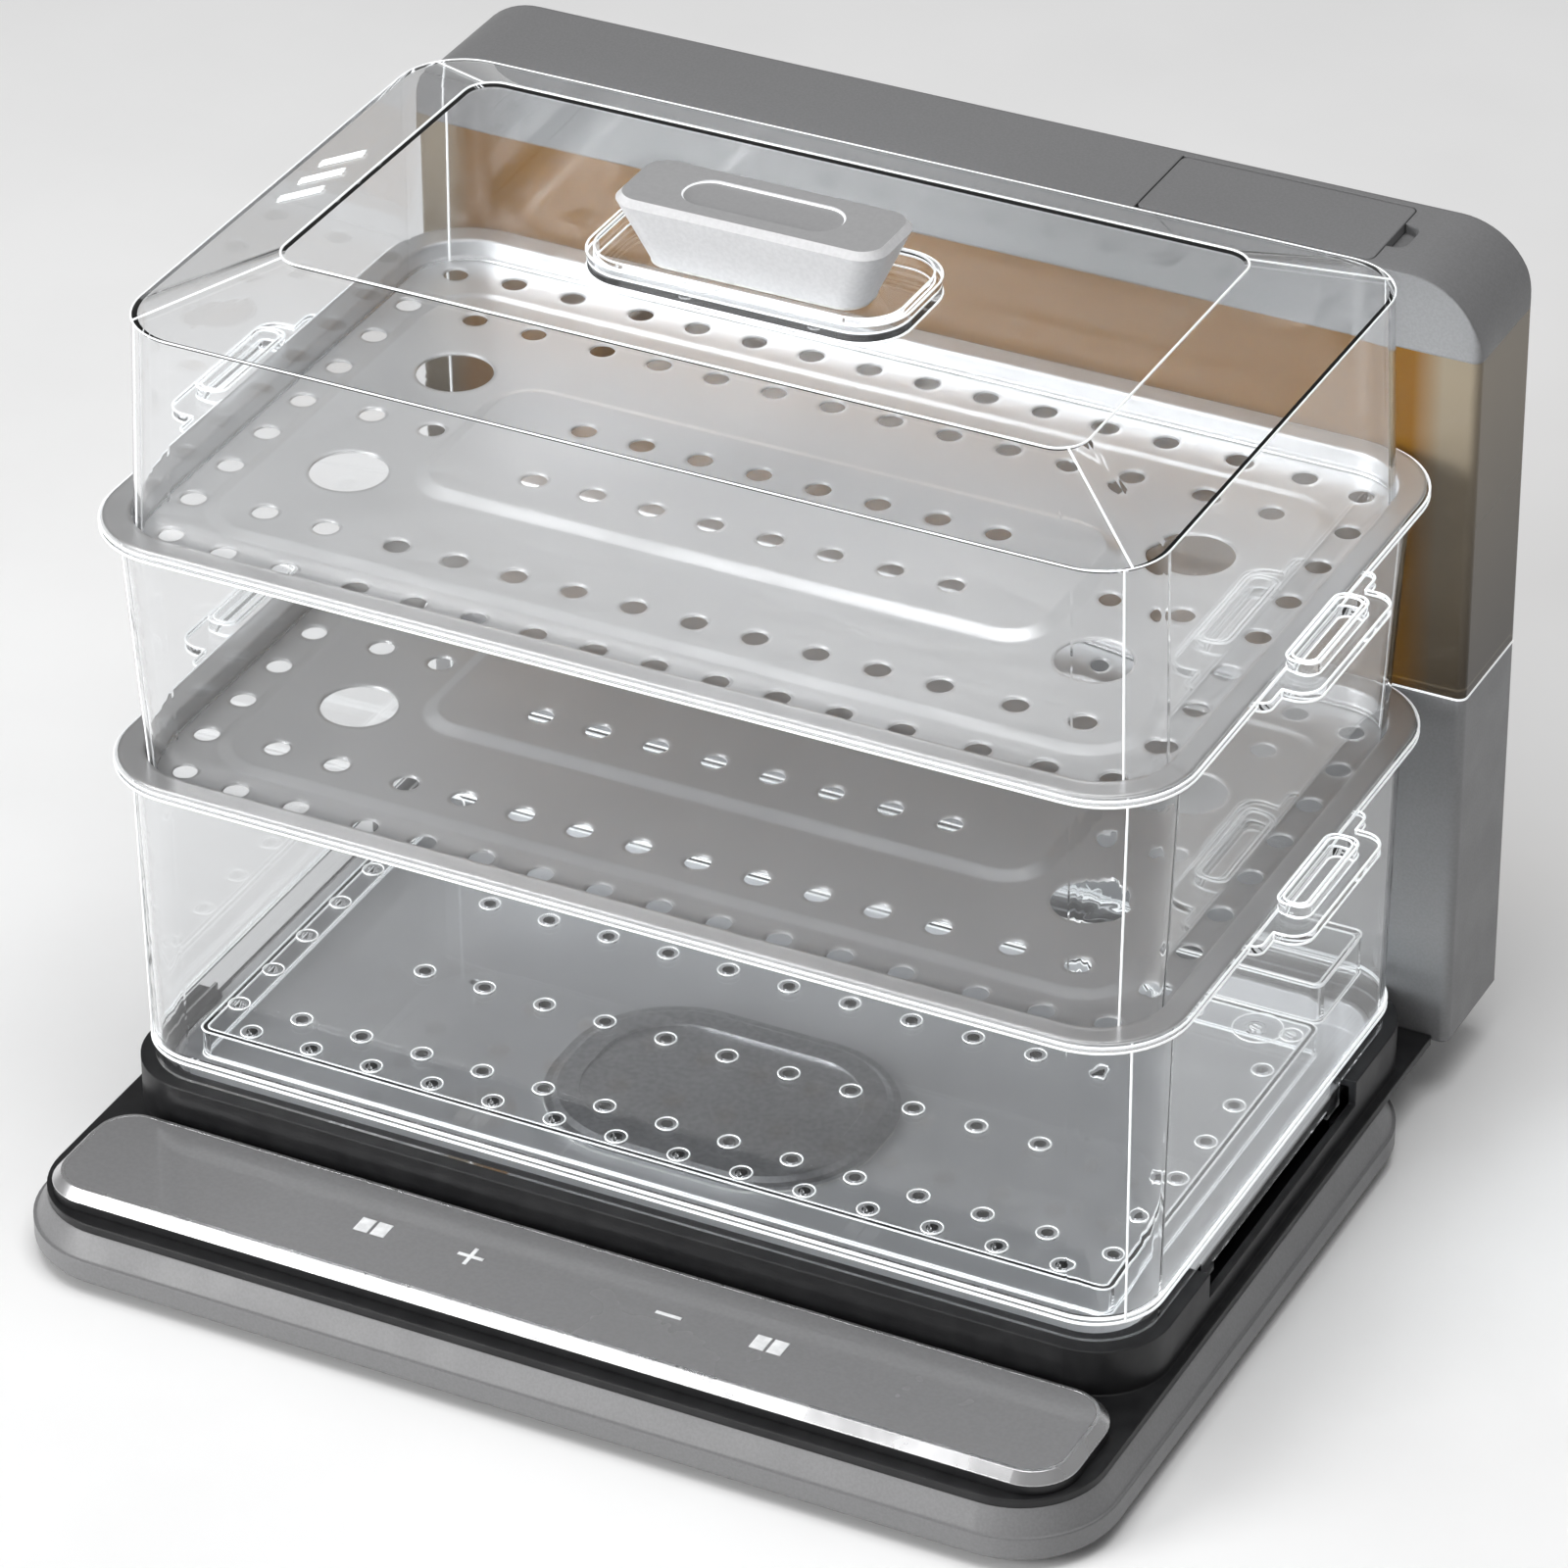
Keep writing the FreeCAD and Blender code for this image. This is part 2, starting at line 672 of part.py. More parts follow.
def perforate_tray(tray, below):
    """Steam holes: two rows along the channel and two along the platform, a column down each
    side, one in each corner, and four large ones."""
    depth = 12
    sides = (-1, 1)
    rows = ["%d * %s" % (side, name) for name in ("channel_hole_y", "platform_hole_y")
            for side in sides]
    in_row = 10
    start_x = "-hole_pitch * %s" % ((in_row - 1) / 2)
    row = tray.pocket(tray.circles(below, "hole_radius", [(start_x, y) for y in rows]), depth)
    tray.repeat(row, "X", "hole_pitch", in_row)
    plateau_row = 8
    start_x = "-hole_pitch * %s" % ((plateau_row - 1) / 2)
    row = tray.pocket(tray.circles(below, "hole_radius", [(start_x, "-plateau_depth / 4"),
                                                          (start_x, "plateau_depth / 4")]), depth)
    tray.repeat(row, "X", "hole_pitch", plateau_row)
    in_column = 7
    start_y = "-channel_pitch_y * %d" % (in_column // 2)
    column = tray.pocket(tray.circles(below, "hole_radius", [("-channel_hole_x", start_y),
                                                             ("channel_hole_x", start_y)]), depth)
    tray.repeat(column, "Y", "channel_pitch_y", in_column)
    singles = [("%d * (%s)" % (side, x), y) for side in sides
               for x in ("outer_hole_x", "outer_hole_x + outer_hole_step") for y in rows + [0]]
    singles += [("%d * corner_hole_x" % x, "%d * corner_hole_y" % y) for x in sides for y in sides]
    tray.pocket(tray.circles(below, "hole_radius", singles), depth)
    large = [("%d * large_hole_x" % x, "%d * large_hole_y" % y) for x in sides for y in sides]
    tray.pocket(tray.circles(below, "large_hole_radius", large), depth)


# ---- lid -------------------------------------------------------------------------------------


def lid_pieces():
    foot = "upper_tray_z - tray_channel_depth + rest_gap"
    roof_depth = "lid_roof_depth"
    shell = Piece("lid_shell", TIER_MIDDLE)
    shell.solid((foot, "lid_foot_width", tier_depth("lid_foot_width"), "lid_radius"),
                ("lid_eave_z", "lid_eave_width", tier_depth("lid_eave_width"), "lid_radius"))
    shell.solid(("lid_eave_z", "lid_eave_width", tier_depth("lid_eave_width"), "lid_radius"),
                ("lid_roof_z", "lid_roof_width", roof_depth, "lid_roof_radius"))
    two = "2 * lid_wall"
    inner_foot = "lid_foot_width - %s" % two
    inner_eave = "lid_eave_width - %s" % two
    inner_radius = "lid_radius - lid_wall"
    eave = "lid_eave_z - 0.7 * lid_wall"
    shell.hollow((foot, inner_foot, tier_depth(inner_foot), inner_radius),
                 (eave, inner_eave, tier_depth(inner_eave), inner_radius))
    shell.hollow((eave, inner_eave, tier_depth(inner_eave), inner_radius),
                 ("lid_roof_z - lid_wall", "lid_roof_width - lid_wall", "%s - lid_wall" % roof_depth,
                  "lid_roof_radius - lid_wall / 2"))
    dish_floor = "lid_roof_z - handle_dish_depth"
    shell.pad(shell.outline("%s - lid_wall" % dish_floor, "handle_dish_width + 2 * lid_wall",
                            "handle_dish_depth_y + 2 * lid_wall",
                            "handle_dish_radius + lid_wall"),
              "handle_dish_depth")
    shell.pocket(shell.outline(dish_floor, "handle_dish_width", "handle_dish_depth_y",
                               "handle_dish_radius"), "handle_dish_depth + 1")
    screw_places = [("-handle_screw_x", 0), ("handle_screw_x", 0)]
    shell.pocket(shell.circles("%s - lid_wall - 1" % dish_floor, "handle_screw_hole_radius",
                               screw_places), 6)
    shell.body.Label = "lid_shell_body"
    pieces.pop("lid_shell")
    keep(cut(shell.body, [vent_slot(step) for step in (-1, 0, 1)]), "lid_shell")

    seat = "%s + handle_seal_thickness" % dish_floor
    seal = Piece("handle_seal", TIER_MIDDLE)
    seal.pad(seal.outline(dish_floor, "handle_foot_width", "handle_foot_depth", 8),
             "handle_seal_thickness")
    seal.pocket(seal.circles("%s - 1" % dish_floor, "handle_screw_hole_radius", screw_places), 3)
    handle = Piece("lid_handle", TIER_MIDDLE)
    top = "%s + handle_height" % seat
    handle.solid((seat, "handle_foot_width", "handle_foot_depth", 8),
                 ("%s - handle_top_bevel" % top, "handle_width", "handle_depth", 9))
    handle.solid(("%s - handle_top_bevel" % top, "handle_width", "handle_depth", 9),
                 (top, "handle_width - 4", "handle_depth - 4", 7))
    recess = "%s - inlay_recess" % top
    handle.pocket(handle.outline(recess, "inlay_length", "inlay_width", "inlay_radius"), 3)
    handle.pocket(handle.circles(seat, "handle_screw_radius", screw_places), 12)
    inlay = Piece("handle_inlay", TIER_MIDDLE)
    inlay.pad(inlay.outline(recess, "inlay_length - 2 * inlay_gap", "inlay_width - 2 * inlay_gap",
                            "inlay_radius - inlay_gap"), "inlay_thickness")
    screws = []
    head_z = "%s - lid_wall - handle_screw_head_height" % dish_floor
    for x, _ in screw_places:
        head = rod("handle_screw_head_radius", "handle_screw_head_height",
                   (x, "tier_middle_y", head_z))
        shank = rod("handle_screw_radius", "lid_wall + handle_seal_thickness + 11.9",
                    (x, "tier_middle_y", "%s - lid_wall" % dish_floor))
        socket = rod(1.3, 1.0, (x, "tier_middle_y", head_z))
        screws.append(cut(fuse([head, shank]), [socket]))
    keep(group(screws), "handle_screws")


def vent_slot(step):
    """One slanted slot through the left slope of the lid's roof, placed by its middle."""
    made = doc.addObject("Part::Box", "vent")
    bind(made, "Length", "vent_length")
    bind(made, "Width", "vent_width")
    bind(made, "Height", 24)
    turn = FreeCAD.Rotation(Vector(0, 0, 1), number("vent_angle"))
    made.Placement = FreeCAD.Placement(Vector(), turn)
    back_x = "cos(vent_angle) * vent_length / 2 - sin(vent_angle) * vent_width / 2"
    back_y = "sin(vent_angle) * vent_length / 2 + cos(vent_angle) * vent_width / 2"
    place(made, ("vent_x - (%s)" % back_x,
                 "tier_middle_y + %d * vent_pitch - (%s)" % (step, back_y), "lid_eave_z - 6"))
    return made


# ---- base ------------------------------------------------------------------------------------


def mirrored(points):
    """The points and their images across the middle plane."""
    return [(x, y) for x, y in points] + [("-(%s)" % x, y) for x, y in points]


FEET = mirrored([(150, -135), (140, 148)])
SCREW_POSTS = mirrored([(177, -70), (177, 70), (100, -150)])
BOARD_POSTS = [(26, 50), (114, 50), (26, 90), (114, 90)]


def base_casing():
    """The lower moulding: a full-width band, a sloped shoulder, a pedestal under the tower."""
    pan = Piece("base_pan", (0, "(front_y + base_end_y) / 2", 0))

    def section(z, inset, radius="base_radius"):
        return (z, "body_width - 2 * (%s)" % inset, "base_end_y - front_y - 2 * (%s)" % inset,
                "%s - (%s)" % (radius, inset))

    pan.solid(section("foot_height", 1.5), section("foot_height + 2", 0))
    pan.solid(section("foot_height + 2", 0), section("band_top_z", 0))
    pan.solid(section("band_top_z", 1), section("shoulder_top_z", "shoulder_inset"))
    pan.hollow(section("foot_height", "base_wall + 1.5"), section("band_top_z", "base_wall + 1"))
    pan.hollow(section("band_top_z", "base_wall + 1"),
               section("shoulder_top_z", "shoulder_inset + base_wall"))
    back = "back_y - 3"
    pedestal = box(("pedestal_width", "%s - base_end_y + 4" % back, "shoulder_top_z - foot_height"),
                   ("-pedestal_width / 2", "base_end_y - 4", "foot_height"))
    plinth = box(("pedestal_width", "%s - tower_front_y" % back, "tower_foot_z - foot_height"),
                 ("-pedestal_width / 2", "tower_front_y", "foot_height"))
    inside = box(("pedestal_width - 2 * base_wall", "%s - base_end_y + 11.5" % back,
                  "tower_foot_z - base_wall - foot_height + 1"),
                 ("-pedestal_width / 2 + base_wall", "base_end_y - 14", "foot_height - 1"))
    hose_hole = rod(9, 12, ("valve_x", "valve_y", "tower_foot_z - 6"))
    wire_hole = box((40, 20, 12), ("cord_x - 20", "valve_y - 10", "tower_foot_z - 6"))
    pan.body.Label = "base_pan_body"
    pieces.pop("base_pan")
    keep(cut(fuse([pan.body, pedestal, plinth]), [inside, hose_hole, wire_hole]), "base_pan")


def base_cover():
    """The plate that closes the base from below, with its feet, posts and screws."""
    cover = Piece("cover_plate", (0, "(front_y + base_end_y) / 2", 0))
    inset = "2 * (base_wall + 2)"
    cover.pad(cover.outline("foot_height", "body_width - %s" % inset,
                            "base_end_y - front_y - %s" % inset, "base_radius - base_wall - 2"),
              "cover_thickness")
    pieces.pop("cover_plate")
    rear = box(("pedestal_width - 2 * base_wall - 1", "back_y - 6 - base_end_y + 13.5",
                "cover_thickness"),
               ("-pedestal_width / 2 + base_wall + 0.5", "base_end_y - 13.5", "foot_height"))
    top = "foot_height + cover_thickness"
    posts = [rod("board_post_radius", 4, (x, y, top)) for x, y in BOARD_POSTS]
    holes = [rod("foot_peg_radius", 4, (x, y, "foot_height - 1")) for x, y in FEET]
    holes += [rod("screw_hole_radius", 4, (x, y, "foot_height - 1")) for x, y in SCREW_POSTS]
    vents = [box((34, 3, 4), (x, y, "foot_height - 1")) for x in (-60, 26) for y in (20, 28, 36)]
    keep(cut(fuse([cover.body, rear] + posts), holes + vents), "base_bottom_cover")
    feet = []
    for x, y in FEET:
        pad = rod("foot_radius", "foot_height", (x, y, 0))
        feet.append(fuse([round_edges(pad, 0.8, lambda b: b.ZMax < 0.1),
                          rod("foot_peg_radius", "cover_thickness", (x, y, "foot_height"))]))
    keep(group(feet), "rubber_feet")
    screws = []
    head_z = "foot_height - screw_head_height"
    for x, y in SCREW_POSTS:
        head = rod("screw_head_radius", "screw_head_height", (x, y, head_z))
        shank = rod("pilot_radius", 12, (x, y, "foot_height"))
        slot = box(("screw_slot_width", "screw_slot_length", "screw_slot_depth"),
                   ("%s - screw_slot_width / 2" % x, "%s - screw_slot_length / 2" % y, head_z))
        cross = box(("screw_slot_length", "screw_slot_width", "screw_slot_depth"),
                    ("%s - screw_slot_length / 2" % x, "%s - screw_slot_width / 2" % y, head_z))
        screws.append(cut(fuse([head, shank]), [slot, cross]))
    keep(group(screws), "base_screws")


def base_deck():
    """The dark top plate with the collar that the lowest box stands on."""
    deck = Piece("deck_plate", (0, "tier_middle_y", 0))
    front = "front_y + shoulder_inset"
    size = ("body_width - 2 * shoulder_inset", "base_end_y - front_y - 2 * shoulder_inset",
            "base_radius - shoulder_inset")
    shift = "(front_y + base_end_y) / 2 - tier_middle_y"
    thickness = "deck_top_z - shoulder_top_z"
    deck.pad(deck.outline("shoulder_top_z", *size, shift_y=shift), thickness)
    reach = "tower_front_y - seam_gap - (%s) - 60" % front
    rear_shift = "(tower_front_y - seam_gap + (%s) + 60) / 2 - tier_middle_y" % front
    deck.pad(deck.outline("shoulder_top_z", size[0], reach, 1, rear_shift), thickness)
    collar = tier_depth("collar_width")
    deck.pad(deck.outline("deck_top_z", "collar_width", collar, 25), "collar_top_z - deck_top_z")
    deck.pocket(deck.outline("shoulder_top_z", "basin_width", tier_depth("basin_width"), 17),
                "collar_top_z")
    wide = "collar_width - 2 * tower_wall"
    deck.pocket(deck.outline("shoulder_top_z", wide, tier_depth(wide), 22.4),
                "collar_top_z - shoulder_top_z - tower_wall")
    pieces.pop("deck_plate")
    post_z = "foot_height + cover_thickness"
    posts = [rod("deck_post_radius", "shoulder_top_z - foot_height - 2", (x, y, post_z))
             for x, y in SCREW_POSTS[2::3]]
    arms = []
    for x, y in SCREW_POSTS[:2] + SCREW_POSTS[3:5]:
        posts.append(rod("deck_post_radius", "shoulder_top_z - foot_height - 1", (x, y, post_z)))
        arms.append(box(("2 * deck_post_radius", "2 * deck_post_radius", 2),
                        ("%s - deck_post_radius" % x, "%s - deck_post_radius" % y,
                         "shoulder_top_z - 1")))
    notches = [box((14, "grip_rail_length + 6", "collar_top_z - 31"),
                   (x, "tier_middle_y - grip_rail_length / 2 - 3", 31.4))
               for x in ("collar_width / 2 - 12", "-collar_width / 2 - 2")]
    pilots = [rod("pilot_radius", 10.5, (x, y, "foot_height + 1.5")) for x, y in SCREW_POSTS]
    slot = box((24, 8, 12), (-12, "panel_back_y - 24", "shoulder_top_z - 4"))
    keep(cut(fuse([deck.body] + posts + arms), notches + pilots + [slot]), "base_deck")


def basin():
    """The drip basin inside the collar, the heating plate in its floor and what is under it."""
    pan = Piece("basin_pan_body", (0, "tier_middle_y", 0))
    outer = "basin_width - 2 * rest_gap"
    pan.pad(pan.outline("basin_floor_z - basin_wall", outer, tier_depth(outer), 16.7),
            "basin_lip_rise + 2 * basin_wall")
    lip = "basin_width + 2 * basin_lip_overhang"
    pan.pad(pan.outline("basin_floor_z + basin_lip_rise", lip, tier_depth(lip), 21),
            "basin_wall")
    inner = "basin_width - 3"
    pan.pocket(pan.outline("basin_floor_z", inner, tier_depth(inner), 15.5), 14)
    middle = ("plate_x", "plate_y", 0)
    hole = Piece("plate_hole", middle)
    hole.pad(hole.outline("basin_floor_z - 3", "plate_width - 8", "plate_depth - 8",
                          "plate_radius - 4"), 6)
    pieces.pop("plate_hole")
    pieces.pop("basin_pan_body")
    port_y = "outlet_y - outlet_bend"
    port = rod("port_radius", 5, ("valve_x", port_y, "basin_floor_z - 6"))
    bore = rod("port_bore_radius", 8, ("valve_x", port_y, "basin_floor_z - 7"))
    keep(cut(fuse([pan.body, port]), [hole.body, bore]), "basin_pan")

    gasket = Piece("plate_gasket", middle)
    gasket.pad(gasket.outline("basin_floor_z", "plate_width", "plate_depth", "plate_radius"), 1)
    gasket.pocket(gasket.outline("basin_floor_z", "plate_width - 8", "plate_depth - 8",
                                 "plate_radius - 4"), 2)
    plate = Piece("heating_plate", middle)
    low = "basin_floor_z + 1"
    plate.pad(plate.outline(low, "plate_width", "plate_depth", "plate_radius"), 1.2)
    plate.solid(("%s + 1.2" % low, "plate_width - 5", "plate_depth - 5", "plate_radius - 2.5"),
                ("%s + 2.4" % low, "plate_width - 9", "plate_depth - 9", "plate_radius - 4.5"))
    plate.pocket(plate.outline("%s + 1.6" % low, "plate_width - 24", "plate_depth - 24",
                               "plate_radius - 12"), 2)
    coil = torus(30, 3.9, ("plate_x", "plate_y", "%s - 3.9" % low))
    ends = [rod(2, 9, ("plate_x + %d" % x, "plate_y", "%s - 15" % low)) for x in (-30, 30)]
    keep(fuse([coil] + ends), "heating_element")
    can = rod(8, 4, ("plate_x", "plate_y", "%s - 4" % low))
    tabs = [box((5, 0.8, 6), ("plate_x + %s" % x, "plate_y - 0.4", "%s - 10" % low))
            for x in (-6.5, 1.5)]
    keep(fuse([can] + tabs), "thermostat")
    link = rod(2.1, 12, ("plate_x - 6", "plate_y + 14", "%s - 2.2" % low), "x")
    wire = rod(0.6, 20, ("plate_x - 10", "plate_y + 14", "%s - 2.2" % low), "x")
    keep(fuse([link, wire]), "thermal_fuse")


# ---- control bar -----------------------------------------------------------------------------


def control_bar():
    """A low bar across the front: a tray, a polished frame, a glass top and touch marks."""
    middle = (0, "(panel_front_y + panel_back_y) / 2", 0)
    deep = "panel_back_y - panel_front_y"

    def ring(inset):
        return ("panel_width - 2 * (%s)" % inset, "%s - 2 * (%s)" % (deep, inset),
                "panel_radius - (%s)" % inset)

    tray = Piece("control_tray", middle)
    tray.pad(tray.outline("deck_top_z", *ring("seam_gap / 2")),
             "panel_top_z - deck_top_z - trim_height")
    tray.pad(tray.outline("panel_top_z - trim_height", *ring("glass_inset")),
             "trim_height - glass_thickness")
    tray.pocket(tray.outline("deck_top_z + 1.2", *ring(6.5)), 8)
    pieces.pop("control_tray")
    slot = box((24, 8, 6), (-12, "panel_back_y - 24", "deck_top_z - 2"))
    keep(cut(tray.body, [slot]), "control_panel_housing")

    frame = Piece("panel_trim", middle)
    frame.solid(("panel_top_z - trim_height", *ring(0)), ("panel_top_z", *ring("trim_bevel")))
    frame.pocket(frame.outline("panel_top_z - trim_height", *ring("glass_inset")), 6)
    glass = Piece("panel_glass", middle)
    glass.pad(glass.outline("panel_top_z - glass_thickness", *ring("glass_inset")),
              "glass_thickness")

    on_board = "deck_top_z + 2 * control_board_thickness"
    board = box((170, 28, "control_board_thickness"),
                (-85, "icon_y - 16", "deck_top_z + control_board_thickness"))
    chip = box((12, 12, 1.6), (-6, "icon_y - 10", on_board))
    lamp = box((4, 3, 1.4), (20, "icon_y - 2", on_board))
    keep(fuse([cut(board, [box((24, 8, 3), (-12, "panel_back_y - 24", "deck_top_z"))]),
               chip, lamp]), "control_board")
    springs = []
    for step in (-2, -1, 1, 2):
        x = "%d * icon_step_x" % step
        ring_out = rod(3.4, 3, (x, "icon_y", on_board))
        springs.append(cut(ring_out, [rod(2.6, 5, (x, "icon_y", "deck_top_z + 1.4"))]))
    keep(group(springs), "touch_springs")

    marks = []
    for step, parts in ((-2, ((-5.5, -3.5, 5, 7), (0.5, -3.5, 5, 7))),
                        (-1, ((-4.5, -0.7, 9, 1.4), (-0.7, -4.5, 1.4, 9))),
                        (1, ((-4.5, -0.7, 9, 1.4),)),
                        (2, ((-5.5, -3.5, 5, 7), (0.5, -3.5, 5, 7)))):
        for x, y, wide, tall in parts:
            marks.append(box((wide, tall, "icon_height"), ("%d * icon_step_x + %s" % (step, x),
                                                  "icon_y + %s" % y, "panel_top_z")))
    keep(fuse(marks), "touch_icons")


# ---- water path and power --------------------------------------------------------------------

def elbow(ring, section, middle, x_axis, y_axis):
    """A quarter of a torus, from the x_axis direction round to the y_axis direction."""
    made = torus(ring, section, middle)
    made.Angle3 = 90
    x_dir = Vector(*x_axis)
    y_dir = Vector(*y_axis)
    turn = FreeCAD.Rotation(x_dir, y_dir, x_dir.cross(y_dir), "XYZ")
    made.Placement = FreeCAD.Placement(made.Placement.Base, turn)
    place(made, middle)
    return made


def hose(run, label):
    """A tube made of the same run of straights and bends at its outer and bore radius."""
    keep(cut(fuse(run("hose_radius")), [fuse(run("hose_bore_radius"))]), label)


def inlet_run(radius):
    bend_z = "hose_z + inlet_bend"
    return [rod(radius, 100, ("valve_x", "valve_y", bend_z)),
            elbow("inlet_bend", radius, ("valve_x", "valve_y - inlet_bend", bend_z), (0, 1, 0),
                  (0, 0, -1)),
            rod(radius, 36, ("valve_x", "valve_y - 48", "hose_z"), "y")]


def outlet_run(radius):
    bend_z = "hose_z + outlet_bend"
    return [rod(radius, 40, ("valve_x", "outlet_y", "hose_z"), "y"),
            elbow("outlet_bend", radius, ("valve_x", "outlet_y", bend_z), (0, 0, -1), (0, -1, 0)),
            rod(radius, 4, ("valve_x", "outlet_y - outlet_bend", bend_z))]


def water_and_power():
    hose(inlet_run, "inlet_hose")
    hose(outlet_run, "outlet_hose")
    motor = rod("pump_radius", 25, ("valve_x", 61, "hose_z"), "y")
    head = rod("pump_head_radius", 8, ("valve_x", 86, "hose_z"), "y")
    nipples = [rod("port_radius", 10, ("valve_x", y, "hose_z"), "y") for y in (94, 51)]
    saddle = box((20, 14, 6), ("valve_x - 10", 68, "foot_height + cover_thickness"))
    keep(fuse([motor, head, saddle] + nipples), "water_pump")

    board = box((100, 50, "board_thickness"), (20, 45, "foot_height + 6"))
    on_board = "foot_height + 6 + board_thickness"
    transformer = box((19, 15, 11), (30, 56, on_board))
    relay = box((12, 9, 8), (56, 58, on_board))
    terminals = box((24, 10, 9), (80, 54, on_board))
    heat_sink = box((16, 3, 11), (56, 76, on_board))
    capacitors = [rod(5, 10, (92, 78, on_board)), rod(4, 9, (38, 82, on_board))]
    keep(fuse([board, transformer, relay, terminals, heat_sink] + capacitors), "power_board")


# ---- tower -----------------------------------------------------------------------------------

TOWER_POSTS = [("body_width / 2 - 18", 42), ("body_width / 2 - 18", 134),
               ("-body_width / 2 + 18", 42), ("-body_width / 2 + 18", 134), (0, 134)]


def slab(inset, low, high, radius=None):
    """A block with the tower's plan, inset all round, with rounded upright edges."""
    made = box(("body_width - 2 * (%s)" % inset, "back_y - tower_front_y - 2 * (%s)" % inset,
                "(%s) - (%s)" % (high, low)),
               ("-body_width / 2 + (%s)" % inset, "tower_front_y + (%s)" % inset, low))
    return round_edges(made, radius, upright) if radius else made


def tower():
    """The housing behind the tiers that carries the tank, with its dock for the tank's valve."""
    outer = slab(0, "tower_foot_z", "tank_foot_z", 3.0)
    inner = slab("tower_wall", "tower_foot_z + tower_wall", "tank_foot_z - tower_wall", 0.8)
    hose_hole = rod(9, 8, ("valve_x", "valve_y", "tower_foot_z - 2"))
    wire_hole = box((40, 20, 8), ("cord_x - 20", "valve_y - 10", "tower_foot_z - 2"))
    wall_y = "back_y - tower_wall"
    window = box(("body_width - 24", 6, "tank_foot_z - tower_foot_z - 20"),
                 ("-body_width / 2 + 12", "%s - 1" % wall_y, "tower_foot_z + 10"))
    posts = []
    post_y = "%s - tower_post_length" % wall_y
    for x, z in TOWER_POSTS:
        posts.append(rod("tower_post_radius", "tower_post_length", (x, post_y, z), "y"))
        if x:
            side = -1 if x.startswith("-") else 1
            posts.append(box((18, "tower_post_length", 2.4),
                             ("%s + %d" % (x, -18 if side < 0 else 0), post_y, z - 1.2)))
        else:
            posts.append(box((2.4, "tower_post_length", 18), (-1.2, post_y, z)))
    dock_hole = rod(15, 6, ("valve_x", "valve_y", "tank_foot_z - 4"))
    pilots = [rod("pilot_radius", 12, (x, "%s - 11" % wall_y, z), "y") for x, z in TOWER_POSTS]
    shell = cut(outer, [inner])
    trimmed = cut(shell, [window, dock_hole, hose_hole, wire_hole])
    kept_posts = common(fuse(posts), slab(0.2, "tower_foot_z + 1", "tank_foot_z - 0.2"))
    keep(cut(fuse([trimmed, kept_posts]), pilots), "tower_housing")

    plate = box(("body_width - 25", "tower_wall - 0.4", "tank_foot_z - tower_foot_z - 21"),
                ("-body_width / 2 + 12.5", "%s" % wall_y, "tower_foot_z + 10.5"))
    plate = round_edges(plate, 2.0, lambda b: b.YLength > 1 and b.XLength < 0.01)
    holes = [rod("screw_hole_radius", 6, (x, "%s - 1" % wall_y, z), "y") for x, z in TOWER_POSTS]
    holes.append(rod(7, 6, ("cord_x", "%s - 1" % wall_y, "cord_z"), "y"))
    louvres = [box((60, 6, 2.4), (-140, "%s - 1" % wall_y, z)) for z in (48, 55, 62, 69)]
    keep(cut(plate, holes + louvres), "tower_back_cover")
    screws = []
    for x, z in TOWER_POSTS:
        shank = rod("pilot_radius", 10, (x, "%s - 10" % wall_y, z), "y")
        neck = rod(1.7, "tower_wall - 0.4", (x, wall_y, z), "y")
        screws.append(fuse([shank, neck]))
    keep(group(screws), "tower_screws")

    gland = rod(7, 14, ("cord_x", "back_y - 14", "cord_z"), "y")
    collar = rod(10, 1.6, ("cord_x", "%s - 1.6" % wall_y, "cord_z"), "y")
    nut = rod(10, 4, ("cord_x", "%s - 8" % wall_y, "cord_z"), "y")
    bore = rod("cord_hole_radius", 20, ("cord_x", "back_y - 17", "cord_z"), "y")
    keep(cut(fuse([gland, collar, nut]), [bore]), "cable_gland")
    dock()


def at_valve(radius, length, z):
    return rod(radius, length, ("valve_x", "valve_y", z))


def dock():
    """The cup in the tower's top that the tank's valve enters, its seal and its fixed pin."""
    under = "tank_foot_z - tower_wall"
    cup = fuse([at_valve("cup_radius", "cup_depth - seam_gap", "tank_foot_z - cup_depth"),
                at_valve(18, 2, "%s - 2" % under),
                at_valve("port_radius", "cup_depth", "tank_foot_z - cup_depth - 13")])
    keep(cut(cup, [at_valve("cup_bore_radius", "cup_depth", "tank_foot_z - cup_depth + 2"),
                   at_valve("port_bore_radius", 30, "tank_foot_z - 2 * cup_depth")]), "tank_dock")
    foot = cut(at_valve(12.5, 3, "tank_foot_z - 12"), [at_valve(10.8, 5, "tank_foot_z - 13")])
    bar = box((22.4, 3, 1.5), ("valve_x - 11.2", "valve_y - 1.5", "tank_foot_z - 10.5"))
    keep(fuse([foot, bar, at_valve(1.5, 4.4, "tank_foot_z - 9")]), "valve_pin")
    keep(cut(at_valve(12.5, 3, "tank_foot_z - 9"), [at_valve(10.4, 5, "tank_foot_z - 10")]),
         "dock_seal")


# ---- water tank ------------------------------------------------------------------------------


